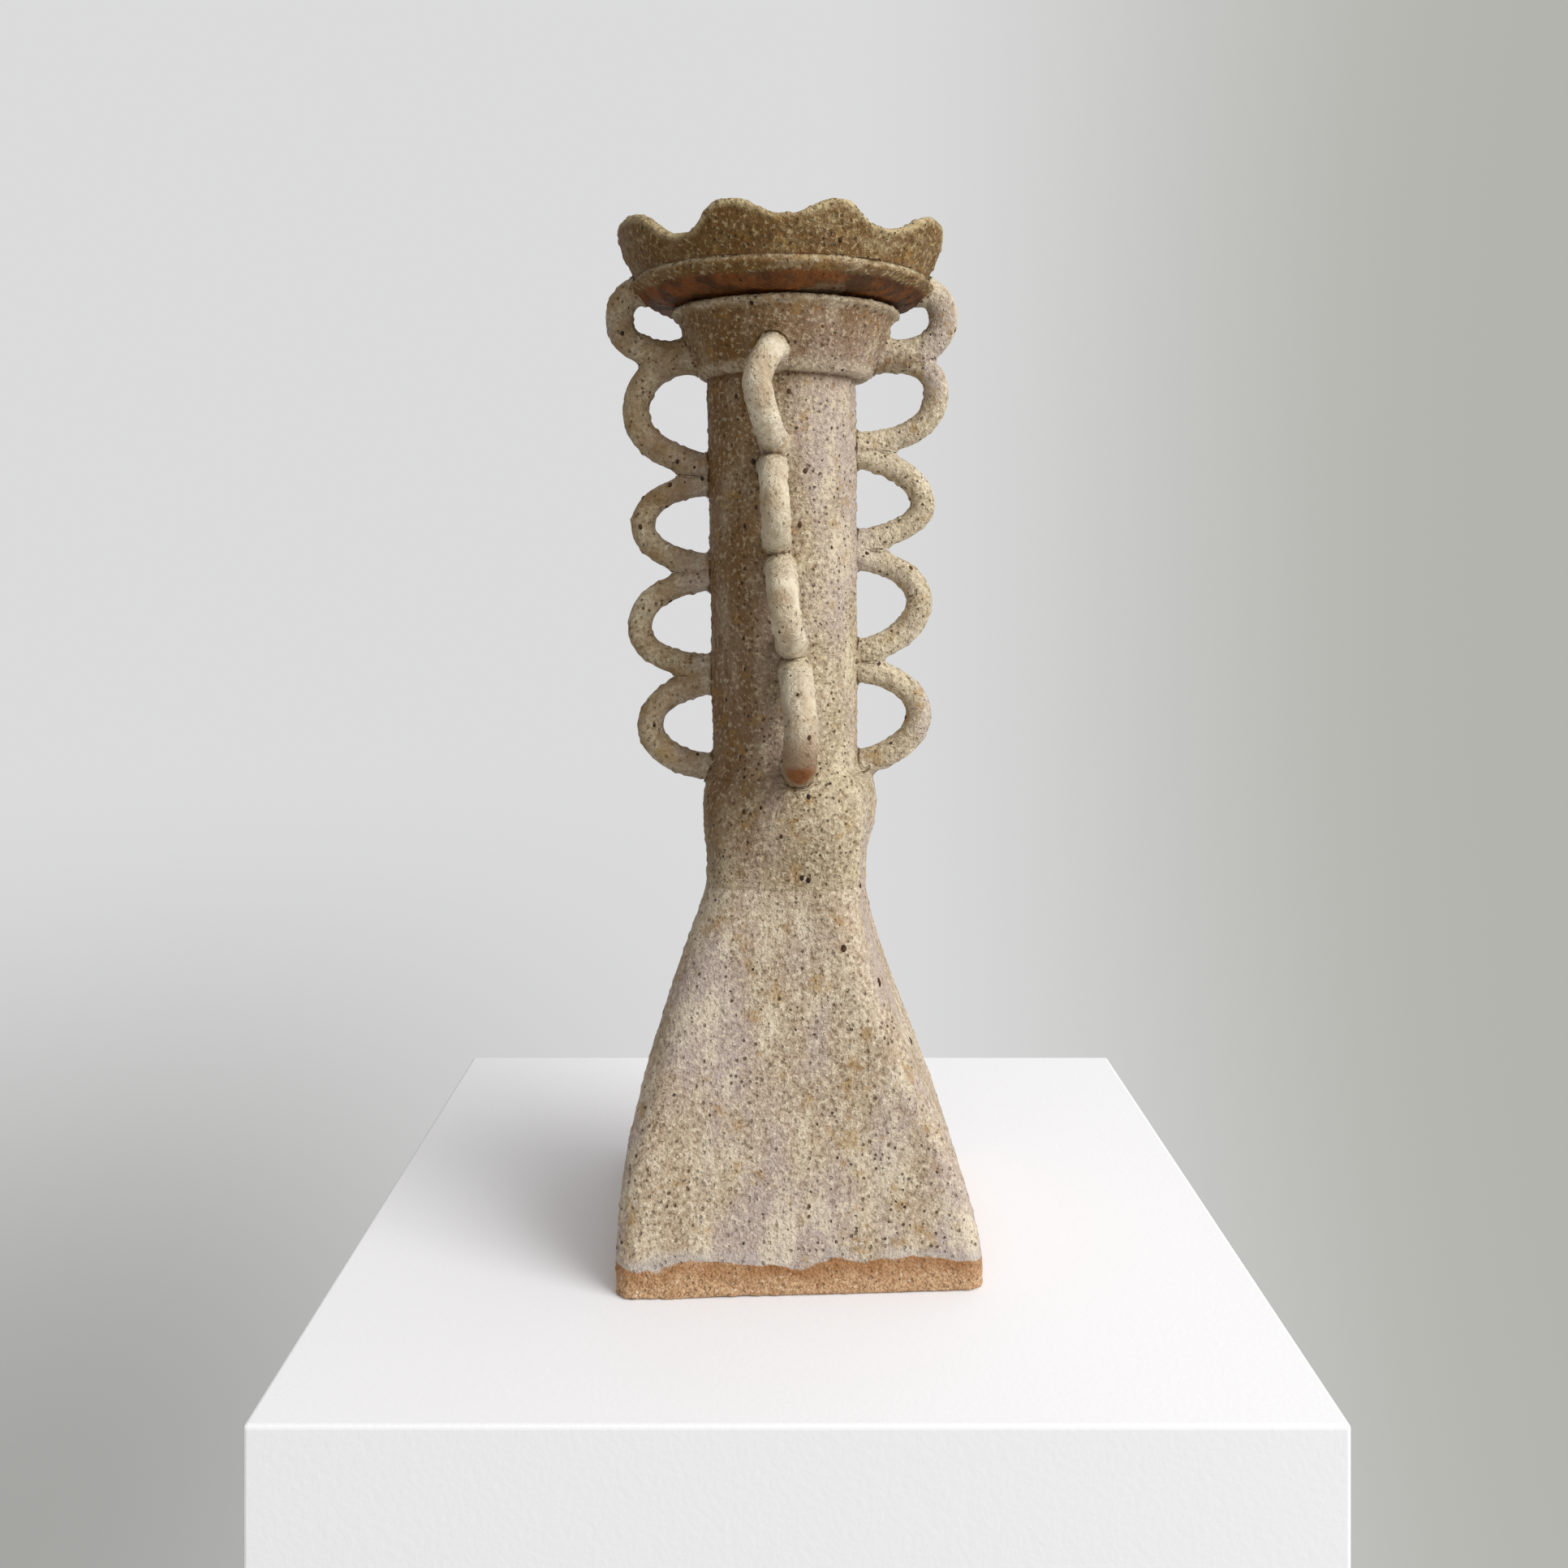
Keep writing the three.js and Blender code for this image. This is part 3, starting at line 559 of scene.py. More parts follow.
def turned_field(profile, centre):
    """The field of a turned piece: the distance to its closed profile in the plane of radius and height."""
    line = evenly(np.asarray(profile)[1:-1], 1.5)
    line = np.vstack([[0, line[0][1]], line, [0, line[-1][1]]])
    start, end = line, np.roll(line, -1, axis=0)
    along = end - start
    length = (along ** 2).sum(axis=1)

    def field(p):
        q = np.column_stack([np.hypot(p[:, 0] - centre[0], p[:, 1] - centre[1]), p[:, 2]])
        nearest = np.full(len(q), FAR)
        inside = np.zeros(len(q), bool)
        for a, b, step, size in zip(start, end, along, length):
            share = np.clip(((q - a) @ step) / max(size, 1e-9), 0, 1)[:, None]
            nearest = np.minimum(nearest, np.linalg.norm(q - a - share * step, axis=1))
            spans = (a[1] > q[:, 1]) != (b[1] > q[:, 1])
            if spans.any() and b[1] != a[1]:
                cut = a[0] + (q[:, 1] - a[1]) * (b[0] - a[0]) / (b[1] - a[1])
                inside ^= spans & (q[:, 0] < cut)
        return np.where(inside, -nearest, nearest)

    return field


def coil_field(path, radii):
    low, high = path.min(axis=0) - 14, path.max(axis=0) + 14

    def field(p):
        value = np.full(len(p), FAR)
        near = ((p > low) & (p < high)).all(axis=1)
        if near.any():
            q = p[near]
            best = np.full(len(q), FAR)
            for k in range(len(path) - 1):
                step = path[k + 1] - path[k]
                share = np.clip((q - path[k]) @ step / (step @ step), 0, 1)
                radius = radii[k] + (radii[k + 1] - radii[k]) * share
                best = np.minimum(best, np.linalg.norm(q - path[k] - share[:, None] * step, axis=1) - radius)
            value[near] = best
        return value

    return field


def crown_field():
    lips = np.array([lip_height(a) for a in range(361)]) - CROWN_WALL / 2
    heights = np.linspace(0, max(lobe[1] for lobe in LOBES), 10)
    line = np.column_stack([crown_radius(heights) - CROWN_WALL / 2, heights])

    def field(p):
        radius = np.hypot(p[:, 0], p[:, 1])
        angle = np.degrees(np.arctan2(p[:, 0], -p[:, 1])) % 360
        lip = np.interp(angle, np.arange(361), lips)
        height = p[:, 2] - CROWN_FOOT
        q = np.column_stack([radius, np.maximum(height, 0)])
        best = np.full(len(q), FAR)
        for a, b in zip(line[:-1], line[1:]):
            step = b - a
            share = np.clip((q - a) @ step / (step @ step), 0, 1)
            best = np.minimum(best, np.linalg.norm(q - a - share[:, None] * step, axis=1))
        over = np.maximum(height - lip, 0)
        return np.hypot(best, over) - CROWN_WALL / 2 + np.maximum(-height, 0)

    return field


def nearest_of(fields):
    def field(p):
        value = np.full(len(p), FAR)
        for one in fields:
            value = np.minimum(value, one(p))
        return value

    return field


def smeared(rows, own, others):
    """Draws a skin out to its neighbours' over each joint, as slip smeared with a thumb does. Each neighbour
    comes with the reach of the smear, which fades out inside it."""
    rows = np.array(rows)
    points = rows.reshape(-1, 3)
    reach = max(far for _, far in others)
    depth = 1.5 * reach
    beyond = nearest_of([field for field, _ in others])(points)
    near = (beyond < reach) & (beyond > -depth)
    start = points[near]
    place = start.copy()

    def union(p):
        """The field of the piece and its neighbours, with their joints filled."""
        value = own(p)
        for field, far in others:
            other = field(p)
            share = np.clip(far - np.abs(value - other), 0, None) / far
            value = np.minimum(value, other) - share ** 2 * far / 4
        return value

    nudge = 0.05
    for _ in range(3):
        value = union(place)
        slope = np.stack([(union(place + nudge * axis) - value) / nudge for axis in np.eye(3)], 1)
        steep = np.maximum((slope ** 2).sum(axis=1), 0.25)
        place -= (np.clip(value, -2, 2) / steep)[:, None] * slope
    weight = smooth_share((beyond[near] + depth) / (1.1 * reach))[:, None]
    points[near] = start + (place - start) * weight
    return points.reshape(rows.shape)


# Nodes

# The settings that many nodes share.
PLUS = {"operation": "ADD"}
MINUS = {"operation": "SUBTRACT"}
TIMES = {"operation": "MULTIPLY"}
TIMES_PLUS = {"operation": "MULTIPLY_ADD"}
POWER = {"operation": "POWER"}
LARGER = {"operation": "MAXIMUM"}
EASED = {"interpolation_type": "SMOOTHSTEP"}
SEEDED = {"noise_dimensions": "4D"}


def add_node(tree, kind, settings=None, *in_order, **by_name):
    """A node with its settings, and its inputs set to values or hex colours, or linked from other nodes.
    Inputs are given in order, by name with underscores for spaces, or by place, as in i6. A node given as
    an input stands for its first output."""
    node = tree.nodes.new(kind)
    for key, value in (settings or {}).items():
        setattr(node, key, value)
    given = list(zip(node.inputs, in_order))
    for key, value in by_name.items():
        by_place = key[0] == "i" and key[1:].isdigit()
        given.append((node.inputs[int(key[1:])] if by_place else node.inputs[key.replace("_", " ")], value))
    for socket, value in given:
        if isinstance(value, bpy.types.Node):
            value = value.outputs[0]
        if isinstance(value, bpy.types.NodeSocket):
            tree.links.new(value, socket)
        else:
            socket.default_value = linear(value) if isinstance(value, str) else value
    return node


def new_tree(name, sockets):
    """A geometry tree with named inputs, and one geometry out."""
    tree = bpy.data.node_groups.new(name, "GeometryNodeTree")
    tree.interface.new_socket("Geometry", in_out="INPUT", socket_type="NodeSocketGeometry")
    for label, kind in sockets.items():
        tree.interface.new_socket(label, in_out="INPUT", socket_type="NodeSocket" + kind)
    tree.interface.new_socket("Geometry", in_out="OUTPUT", socket_type="NodeSocketGeometry")
    return tree, tree.nodes.new("NodeGroupInput").outputs


def close_tree(tree, geometry, clay):
    """Ends a geometry tree in one plain mesh of one material."""
    whole = add_node(tree, "GeometryNodeRealizeInstances", Geometry=geometry)
    dressed = add_node(tree, "GeometryNodeSetMaterial", Geometry=whole, Material=clay)
    add_node(tree, "NodeGroupOutput", Geometry=dressed)
    return tree


def grow_with(tree, thing, name, **values):
    """Runs a geometry tree on an object and gives its result as a plain mesh object."""
    modifier = thing.modifiers.new(tree.name, "NODES")
    modifier.node_group = tree
    for item in tree.interface.items_tree:
        key = item.name.lower().replace(" ", "_")
        if item.in_out == "INPUT" and key in values:
            modifier[item.identifier] = values[key]
    evaluated = thing.evaluated_get(bpy.context.evaluated_depsgraph_get())
    mesh = bpy.data.meshes.new_from_object(evaluated)
    thing.modifiers.remove(modifier)
    result = bpy.data.objects.new(name, mesh)
    bpy.context.scene.collection.objects.link(result)
    return result


def coil_tree():
    """Rolls a coil of clay along a path, a little thicker where its arms meet the wall."""
    tree, given = new_tree("rolled_coil", {
        "Thickness": "Float", "Arm swell": "Float", "Sides": "Int", "Clay": "Material",
    })
    path = add_node(tree, "GeometryNodeMeshToCurve", Mesh=given["Geometry"])
    share = add_node(tree, "GeometryNodeSplineParameter")
    turn = add_node(tree, "ShaderNodeMath", TIMES, share, math.pi)
    wave = add_node(tree, "ShaderNodeMath", {"operation": "COSINE"}, turn)
    square = add_node(tree, "ShaderNodeMath", POWER, wave, 2.0)
    ends = add_node(tree, "ShaderNodeMath", POWER, square, 3.0)
    swell = add_node(tree, "ShaderNodeMath", TIMES_PLUS, ends, given["Arm swell"], 1.0)
    half = add_node(tree, "ShaderNodeMath", TIMES, given["Thickness"], 0.5)
    radius = add_node(tree, "ShaderNodeMath", TIMES, swell, half)
    ring = add_node(tree, "GeometryNodeCurvePrimitiveCircle", Resolution=given["Sides"], Radius=1.0)
    coil = add_node(tree, "GeometryNodeCurveToMesh", Curve=path, Profile_Curve=ring, Scale=radius,
                    Fill_Caps=True)
    return close_tree(tree, coil, given["Clay"])


def skin_tree():
    """Roughens a smooth skin: a hand's slow waves, grains of grog, and the fine tooth between them."""
    tree, given = new_tree("grogged_skin", {
        "Wave": "Float", "Grain": "Float", "Tooth": "Float", "Sink": "Float", "Clay": "Material",
    })
    place = add_node(tree, "GeometryNodeInputPosition")
    relief = []
    for size, detail, depth in ((0.026, 1.0, "Wave"), (0.0022, 2.0, "Tooth")):
        noise = add_node(tree, "ShaderNodeTexNoise", Vector=place, Scale=1 / size, Detail=detail)
        level = add_node(tree, "ShaderNodeMath", MINUS, noise, 0.5)
        relief.append(add_node(tree, "ShaderNodeMath", TIMES, level, given[depth]))
    grog = add_node(tree, "ShaderNodeTexVoronoi", Vector=place, Scale=1 / 0.0031)
    bump = add_node(tree, "ShaderNodeMapRange", EASED, grog, 0.15, 0.52, 1.0, 0.0)
    chance = add_node(tree, "FunctionNodeSeparateColor", Color=grog.outputs["Color"])
    chosen = add_node(tree, "ShaderNodeMath", {"operation": "GREATER_THAN"}, chance, 0.45)
    grain = add_node(tree, "ShaderNodeMath", TIMES, bump, chosen)
    grain = add_node(tree, "ShaderNodeMath", TIMES, grain, given["Grain"])
    height = add_node(tree, "ShaderNodeMath", PLUS, *relief)
    height = add_node(tree, "ShaderNodeMath", PLUS, height, grain)
    height = add_node(tree, "ShaderNodeMath", MINUS, height, given["Sink"])
    normal = add_node(tree, "GeometryNodeInputNormal")
    offset = add_node(tree, "ShaderNodeVectorMath", {"operation": "SCALE"}, normal, Scale=height)
    moved = add_node(tree, "GeometryNodeSetPosition", Geometry=given["Geometry"], Offset=offset)
    smooth = add_node(tree, "GeometryNodeSetShadeSmooth", Geometry=moved, Shade_Smooth=True)
    return close_tree(tree, smooth, given["Clay"])


def speck_tree():
    """Scatters melted specks of iron over a skin, each a small flat bead. Most are near the smallest."""
    tree, given = new_tree("iron_specks", {
        "Specks a square metre": "Float", "Smallest": "Float", "Largest": "Float", "Seed": "Int",
        "Iron": "Material",
    })
    spots = add_node(tree, "GeometryNodeDistributePointsOnFaces", Mesh=given["Geometry"],
                     Density=given["Specks a square metre"], Seed=given["Seed"])
    bead = add_node(tree, "GeometryNodeMeshIcoSphere", Radius=1.0, Subdivisions=2)
    chance = add_node(tree, "FunctionNodeRandomValue", {"data_type": "FLOAT"}, Seed=given["Seed"])
    often_small = add_node(tree, "ShaderNodeMath", POWER, chance.outputs[1], 5.0)
    size = add_node(tree, "ShaderNodeMapRange", {}, often_small, 0.0, 1.0,
                    given["Smallest"], given["Largest"])
    flat = add_node(tree, "ShaderNodeMath", TIMES, size, 0.42)
    stretch = add_node(tree, "ShaderNodeMath", TIMES, size, 1.3)
    scale = add_node(tree, "ShaderNodeCombineXYZ", {}, size, stretch, flat)
    beads = add_node(tree, "GeometryNodeInstanceOnPoints", Points=spots, Instance=bead,
                     Rotation=spots.outputs["Rotation"], Scale=scale)
    return close_tree(tree, beads, given["Iron"])


# Materials

def linear(hex_colour):
    """The linear colour of an sRGB hex value."""
    parts = [int(hex_colour[i:i + 2], 16) / 255 for i in (1, 3, 5)]
    return [c / 12.92 if c <= 0.04045 else ((c + 0.055) / 1.055) ** 2.4 for c in parts] + [1.0]


def new_material(name):
    """An empty material, its tree, and the object coordinates that its patterns follow."""
    material = bpy.data.materials.new(name)
    material.use_nodes = True
    tree = material.node_tree
    tree.nodes.clear()
    return material, tree, add_node(tree, "ShaderNodeTexCoord").outputs["Object"]


def laid_over(tree, colour, coats):
    """A colour with coats laid over it one by one. A coat is the pattern that it follows, the levels of
    that pattern at which it starts and is full, how much it then covers, and its own colour."""
    for pattern, start, full, cover, coat in coats:
        share = add_node(tree, "ShaderNodeMapRange", EASED, pattern, start, full, 0.0, cover)
        mix = add_node(tree, "ShaderNodeMix", {"data_type": "RGBA"}, i0=share, i6=colour, i7=coat)
        colour = mix.outputs[2]
    return colour


def peppered(tree, place, spacing, radius, kept, seed):
    """A pattern of round spots at a mean spacing, in metres, of which only a share is kept."""
    moved = add_node(tree, "ShaderNodeVectorMath", {}, place, (seed, seed / 3, seed / 7))
    cells = add_node(tree, "ShaderNodeTexVoronoi", Vector=moved, Scale=1 / spacing)
    chance = add_node(tree, "ShaderNodeSeparateColor", Color=cells.outputs["Color"])
    chosen = add_node(tree, "ShaderNodeMath", {"operation": "LESS_THAN"}, chance, kept)
    rim = radius / spacing
    return add_node(tree, "ShaderNodeMapRange", EASED, cells, rim, 0.5 * rim, 0.0, chosen)


def grogged_glaze(name, sand, mauve, cream, brown, thin, painted_left_shade=1.0, painted_top_shade=0.85, crusted=0.65,
                  broken=0.6, run=0.4):
    """Grogged stoneware under a thin matt glaze: the glaze breaks cream over the grains and the edges and
    pools mauve between them, with brown pits, ochre blooms and iron specks. Thin is a colour of painted
    shade, laid in drifts as a thinner, browner glaze high on the piece, where the walls face down, and down
    its left, away from the window; painted_left_shade and painted_top_shade are how much of it lies there.
    Run is how its patches are drawn out, upright under 1 and level over 1. The grains are 0.5 to 2 mm."""
    material, tree, place = new_material(name)
    drawn_out = add_node(tree, "ShaderNodeVectorMath", TIMES, place, (1, 1, run))
    patches, drifts, clusters, blooms, grains, fines, wobble = (
        add_node(tree, "ShaderNodeTexNoise", SEEDED, Vector=where, W=seed, Scale=1 / size, Detail=detail,
                 Roughness=0.6)
        for where, size, detail, seed in (
            (drawn_out, 0.030, 3.0, 0.0), (drawn_out, 0.010, 4.0, 3.0), (drawn_out, 0.016, 2.0, 17.0),
            (place, 0.007, 3.0, 11.0), (place, 0.0016, 4.0, 5.0), (place, 0.0008, 2.0, 7.0),
            (place, 0.0011, 2.0, 13.0),
        ))
    ragged = add_node(tree, "ShaderNodeVectorMath", TIMES_PLUS, wobble, (0.0012, -0.0012, 0.0012), place)
    crust = peppered(tree, ragged, 0.0026, 0.0007, 0.5, 2.9)
    pits = peppered(tree, ragged, 0.0022, 0.00065, 0.5, 0.4)
    specks = peppered(tree, ragged, 0.0058, 0.0008, 0.3, 1.7)
    joint, edge = (add_node(tree, "ShaderNodeAttribute", {"attribute_name": mark}).outputs["Fac"]
                   for mark in ("joint", "edge"))
    axes = add_node(tree, "ShaderNodeSeparateXYZ", Vector=place).outputs

    # The grains show less where the glaze lies thick; the painted shade down the left and high up, and the
    # cream broken over the edges, come in drifts.
    creamy, tanned = (
        add_node(tree, "ShaderNodeMapRange", {}, patches, 0.43, 0.6, most, least)
        for most, least in ((crusted, 0.4 * crusted), (0.6, 0.35)))
    left_shade_patches, top_shade_share, breaking, joint_darkening_share = (
        add_node(tree, "ShaderNodeMapRange", {}, pattern, 0.62, 0.36, least, most)
        for pattern, least, most in (
            (drifts, 0.6, 1.0), (drifts, 0.6 * painted_top_shade, painted_top_shade), (drifts, broken, 0.3 * broken),
            (blooms, 0.7, 0.0)))
    # Painted shade: the thin colour goes down the left, away from the window, from high on the foot up.
    left_shade_height = add_node(tree, "ShaderNodeMapRange", EASED, axes["Z"], 0.105, 0.160, 0.0, painted_left_shade)
    left_shade_share = add_node(tree, "ShaderNodeMath", TIMES, left_shade_height, left_shade_patches)
    clustered = add_node(tree, "ShaderNodeMapRange", {}, clusters, 0.42, 0.6, 0.12, 0.85)
    crowded = add_node(tree, "ShaderNodeMath", LARGER, clustered, joint)

    colour = laid_over(tree, sand, [
        (patches, 0.43, 0.58, 1.0, mauve),
        (drifts, 0.48, 0.64, 0.65, cream),
        (grains, 0.53, 0.61, creamy, cream),
        (crust, 0.0, 1.0, creamy, "#E0D5B8"),
        # Painted shade: the thin colour down the left and high on the piece, where the walls face down.
        (axes["X"], 0.018, -0.020, left_shade_share, thin),
        (axes["Z"], 0.285, 0.325, top_shade_share, thin),
        (edge, 0.2, 0.9, breaking, cream),
        (grains, 0.54, 0.61, 0.45, cream),
        (grains, 0.47, 0.37, tanned, brown),
        (fines, 0.46, 0.35, 0.4, brown),
        (blooms, 0.56, 0.68, 0.5, "#A17A38"),
        # Darker brown near the joints, with the pits crowded there too.
        (joint, 0.3, 1.0, joint_darkening_share, "#6B4820"),
        (pits, 0.0, 1.0, crowded, "#553B1B"),
        (specks, 0.0, 1.0, 0.9, "#332217"),
    ])
    height = 0.0
    for pattern, rise in ((grains, 0.9), (fines, 0.45), (crust, 0.3), (pits, -0.6)):
        height = add_node(tree, "ShaderNodeMath", TIMES_PLUS, pattern, rise, height)
    bump = add_node(tree, "ShaderNodeBump", Strength=1.0, Distance=0.0014, Height=height)
    rough = add_node(tree, "ShaderNodeMapRange", {}, grains, 0.3, 0.7, 0.5, 0.75)
    shader = add_node(tree, "ShaderNodeBsdfPrincipled", Base_Color=colour, Roughness=rough, IOR=1.5,
                      Normal=bump, Specular_IOR_Level=0.3)
    add_node(tree, "ShaderNodeOutputMaterial", Surface=shader)
    return material, tree, place, axes, colour, shader.inputs["Base Color"]


def glazed_stoneware():
    """The matt glaze as it lies on the knuckle, the column and the collar."""
    # The last colour is the painted shade laid down the left and high up.
    return grogged_glaze("matt_glazed_stoneware", "#B1A084", "#B6A699", "#D9CBAE", "#5F431E", "#76511F")[0]


def coil_stoneware():
    """The coils took more glaze, so they are paler. Down the left they are painted browner as shade, and the
    flame flashed the lowest front one orange at its tip, where the colour is darkened in part as painted
    shade."""
    # The last colour is painted shade, here laid only faintly high up.
    material, tree, place, axes, colour, surface = grogged_glaze(
        "thick_glazed_stoneware_coils", "#BFB094", "#B8A99C", "#E2D5B8", "#7A6038", "#86652F",
        painted_left_shade=0.0, painted_top_shade=0.1)
    drifts, smears = (
        add_node(tree, "ShaderNodeTexNoise", SEEDED, Vector=place, W=seed, Scale=1 / size, Detail=3.0)
        for size, seed in ((0.012, 21.0), (0.008, 26.0)))
    coil_left_shade, creamed, tanned = (
        add_node(tree, "ShaderNodeMapRange", {}, pattern, 0.38, 0.62, least, most)
        for pattern, least, most in ((drifts, 0.15, 0.8), (smears, 0.35, 0.85), (smears, 0.6, 0.0)))
    tip = (0.0062, -0.047, 0.1615)
    from_tip = add_node(tree, "ShaderNodeVectorMath", {"operation": "DISTANCE"}, place, tip).outputs["Value"]
    tree.links.new(laid_over(tree, colour, [
        # Painted shade: a browner coat down the left coils, away from the window.
        (axes["X"], -0.024, -0.034, coil_left_shade, "#8C6C40"),
        (axes["Y"], -0.032, -0.044, creamed, "#E0D4BA"),
        (axes["Y"], -0.040, -0.052, tanned, "#A88B68"),
        # The flashed tip and the tan round it: the flame's own colour, darkened in part as painted shade.
        (from_tip, 0.028, 0.011, 0.75, "#856340"),
        (from_tip, 0.0105, 0.006, 0.9, "#854A10"),
    ]), surface)
    return material


def foot_stoneware():
    """The same glaze, wiped off above the ground: a bare pinkish strip under a flashed brown edge."""
    # The last colour is painted shade, laid down the left near the top of the foot.
    material, tree, place, axes, colour, surface = grogged_glaze(
        "glazed_stoneware_over_bare_foot", "#B9A58C", "#B7A69C", "#E0D3BA", "#6A502B", "#8C6A36",
        painted_left_shade=0.5, crusted=0.6, broken=0.95)
    drips, grains, drifts = (
        add_node(tree, "ShaderNodeTexNoise", SEEDED, Vector=place, W=seed, Scale=1 / size, Detail=3.0)
        for size, seed in ((0.020, 2.0), (0.0008, 9.0), (0.013, 31.0)))
    edge = add_node(tree, "ShaderNodeAttribute", {"attribute_name": "edge"}).outputs["Fac"]
    line = add_node(tree, "ShaderNodeMath", TIMES_PLUS, drips, 0.014, axes["Z"])
    rusted, pooled = (
        add_node(tree, "ShaderNodeMapRange", {}, drifts, 0.4, 0.62, least, most)
        for least, most in ((0.3, 0.9), (0.8, 0.1)))
    blotched = add_node(tree, "ShaderNodeMapRange", {}, axes["X"], -0.030, -0.045, 0.0, pooled)
    clay = laid_over(tree, "#A37B56", [
        (grains, 0.38, 0.62, 1.0, "#CDAA85"),
        (peppered(tree, place, 0.0026, 0.0006, 0.5, 2.2), 0.0, 1.0, 0.8, "#E2D0B8"),
        (peppered(tree, place, 0.0036, 0.0005, 0.4, 3.1), 0.0, 1.0, 0.9, "#6E4726"),
        (line, 0.0100, 0.0150, rusted, "#8F5C2B"),
    ])
    glaze = laid_over(tree, colour, [
        (edge, 0.25, 0.85, blotched, "#9E7835"),
        (line, 0.0215, 0.0174, pooled, "#B3ABA6"),
    ])
    tree.links.new(laid_over(tree, clay, [(line, 0.0162, 0.0170, 1.0, glaze)]), surface)
    return material


def washed_stoneware():
    """The bowl's thinly washed stoneware, rust brown where its underside is nearly bare, cream at its lip,
    which is partly the glaze broken over it and partly a painted highlight.
    """
    # The last colour is painted shade, laid down the left and over the bowl high up.
    material, tree, place, axes, colour, surface = grogged_glaze(
        "thin_washed_stoneware", "#8F744A", "#957F66", "#D6C8A6", "#5C421C", "#72501F",
        crusted=0.5, broken=0.8, run=2.0)
    smears, blushes = (
        add_node(tree, "ShaderNodeTexNoise", SEEDED, Vector=place, W=seed, Scale=1 / size, Detail=3.0)
        for size, seed in ((0.018, 4.0), (0.009, 6.0)))
    level = add_node(tree, "ShaderNodeMath", TIMES_PLUS, smears, 0.003, axes["Z"])
    lip = (FLANGE_UNDER + FLANGE_DROP + 0.2) * MM
    normal = add_node(tree, "ShaderNodeTexCoord").outputs["Normal"]
    facing = add_node(tree, "ShaderNodeSeparateXYZ", Vector=normal).outputs
    rusted = add_node(tree, "ShaderNodeMapRange", {}, facing["Z"], 0.2, -0.1, 0.15, 0.92)
    rust = laid_over(tree, "#482400", [
        (blushes, 0.4, 0.62, 1.0, "#7C440E"), (smears, 0.56, 0.66, 0.5, "#8D7A5C"),
    ])
    tree.links.new(laid_over(tree, colour, [(level, lip + 0.0012, lip - 0.0004, rusted, rust)]), surface)
    return material


def crown_stoneware():
    """The crown's glaze is thinner and browner outside, darker again under the painted shade laid high on the
    piece, and breaks cream over its lip.
    """
    # The last colour is painted shade, laid over the whole crown high up and down its left.
    return grogged_glaze("thin_glazed_stoneware_rim", "#866A40", "#8A7259", "#CDBB90", "#4A3312", "#6E4D1C",
                         crusted=0.3, broken=0.9, run=2.2)[0]


def melted_iron():
    """Iron pyrites melted through the glaze: near black brown, with a soft shine."""
    material, tree, place = new_material("melted_iron_speck")
    clouds = add_node(tree, "ShaderNodeTexNoise", Vector=place, Scale=1 / 0.004, Detail=2.0)
    colour = laid_over(tree, "#22150B", [(clouds, 0.4, 0.6, 1.0, "#4A3018")])
    shader = add_node(tree, "ShaderNodeBsdfPrincipled", Base_Color=colour, Roughness=0.6, IOR=1.5,
                      Specular_IOR_Level=0.25)
    add_node(tree, "ShaderNodeOutputMaterial", Surface=shader)
    return material


def painted_board():
    """Emulsion paint rolled on board: flat white with the faintest orange peel."""
    material, tree, place = new_material("white_emulsion_on_board")
    peel = add_node(tree, "ShaderNodeTexNoise", Vector=place, Scale=1 / 0.0018, Detail=2.0)
    bump = add_node(tree, "ShaderNodeBump", Strength=0.15, Distance=0.0005, Height=peel)
    shader = add_node(tree, "ShaderNodeBsdfPrincipled", Base_Color="#F3F3F6", Roughness=0.75, Normal=bump)
    add_node(tree, "ShaderNodeOutputMaterial", Surface=shader)
    return material


GLAZE = glazed_stoneware()
COIL_GLAZE = coil_stoneware()
FOOT_CLAY = foot_stoneware()
WASH = washed_stoneware()
RIM_GLAZE = crown_stoneware()
IRON = melted_iron()

COIL_TREE = coil_tree()
SKIN_TREE = skin_tree()
SPECK_TREE = speck_tree()


# The pieces' shared shapes and their fields

COILS = loops()
COIL_FIELDS = {name: coil_field(path, coil_radii(path, thick)) for name, path, thick in COILS}
FOOT_OUT, FOOT_IN = foot_rows()
KNUCKLE_OUT, KNUCKLE_LEDGE, KNUCKLE_IN = knuckle_rows()
COLUMN_HEIGHTS = np.linspace(COLUMN_FOOT, COLUMN_TOP, int(COLUMN_HEIGHT / STEP))
COLUMN_OUT = column_rings(COLUMN_HEIGHTS, 0)
FIELDS = {
    "foot": ringed_field(FOOT_OUT[2:] + [foot_ring(0.0) + (0, 0, rise) for rise in (1, 2, 3)]),
    "knuckle": ringed_field([foot_ring(0.0) - (0, 0, drop) for drop in (3, 2, 1)] + KNUCKLE_OUT
                            + [KNUCKLE_OUT[-1] + (0, 0, SLIP)]),
    "column": ringed_field([COLUMN_OUT[0] - (0, 0, 8)] + COLUMN_OUT + [COLUMN_OUT[-1] + (0, 0, 2)]),
    "collar": turned_field(collar_profile(), COLLAR_CENTRE),
    "bowl": turned_field(bowl_profile(), (0, 0)),
    "crown": crown_field(),
}
TIES = ("loop_left_1", "loop_right_1")


def coils_near(*names):
    return nearest_of([COIL_FIELDS[name] for name in names])


def circle(centre, radius, height):
    turn = np.linspace(0, 2 * np.pi, 121)
    x = centre[0] + radius * np.cos(turn)
    y = centre[1] + radius * np.sin(turn)
    return np.column_stack([x, y, 0 * turn + height])


# Finishing a piece

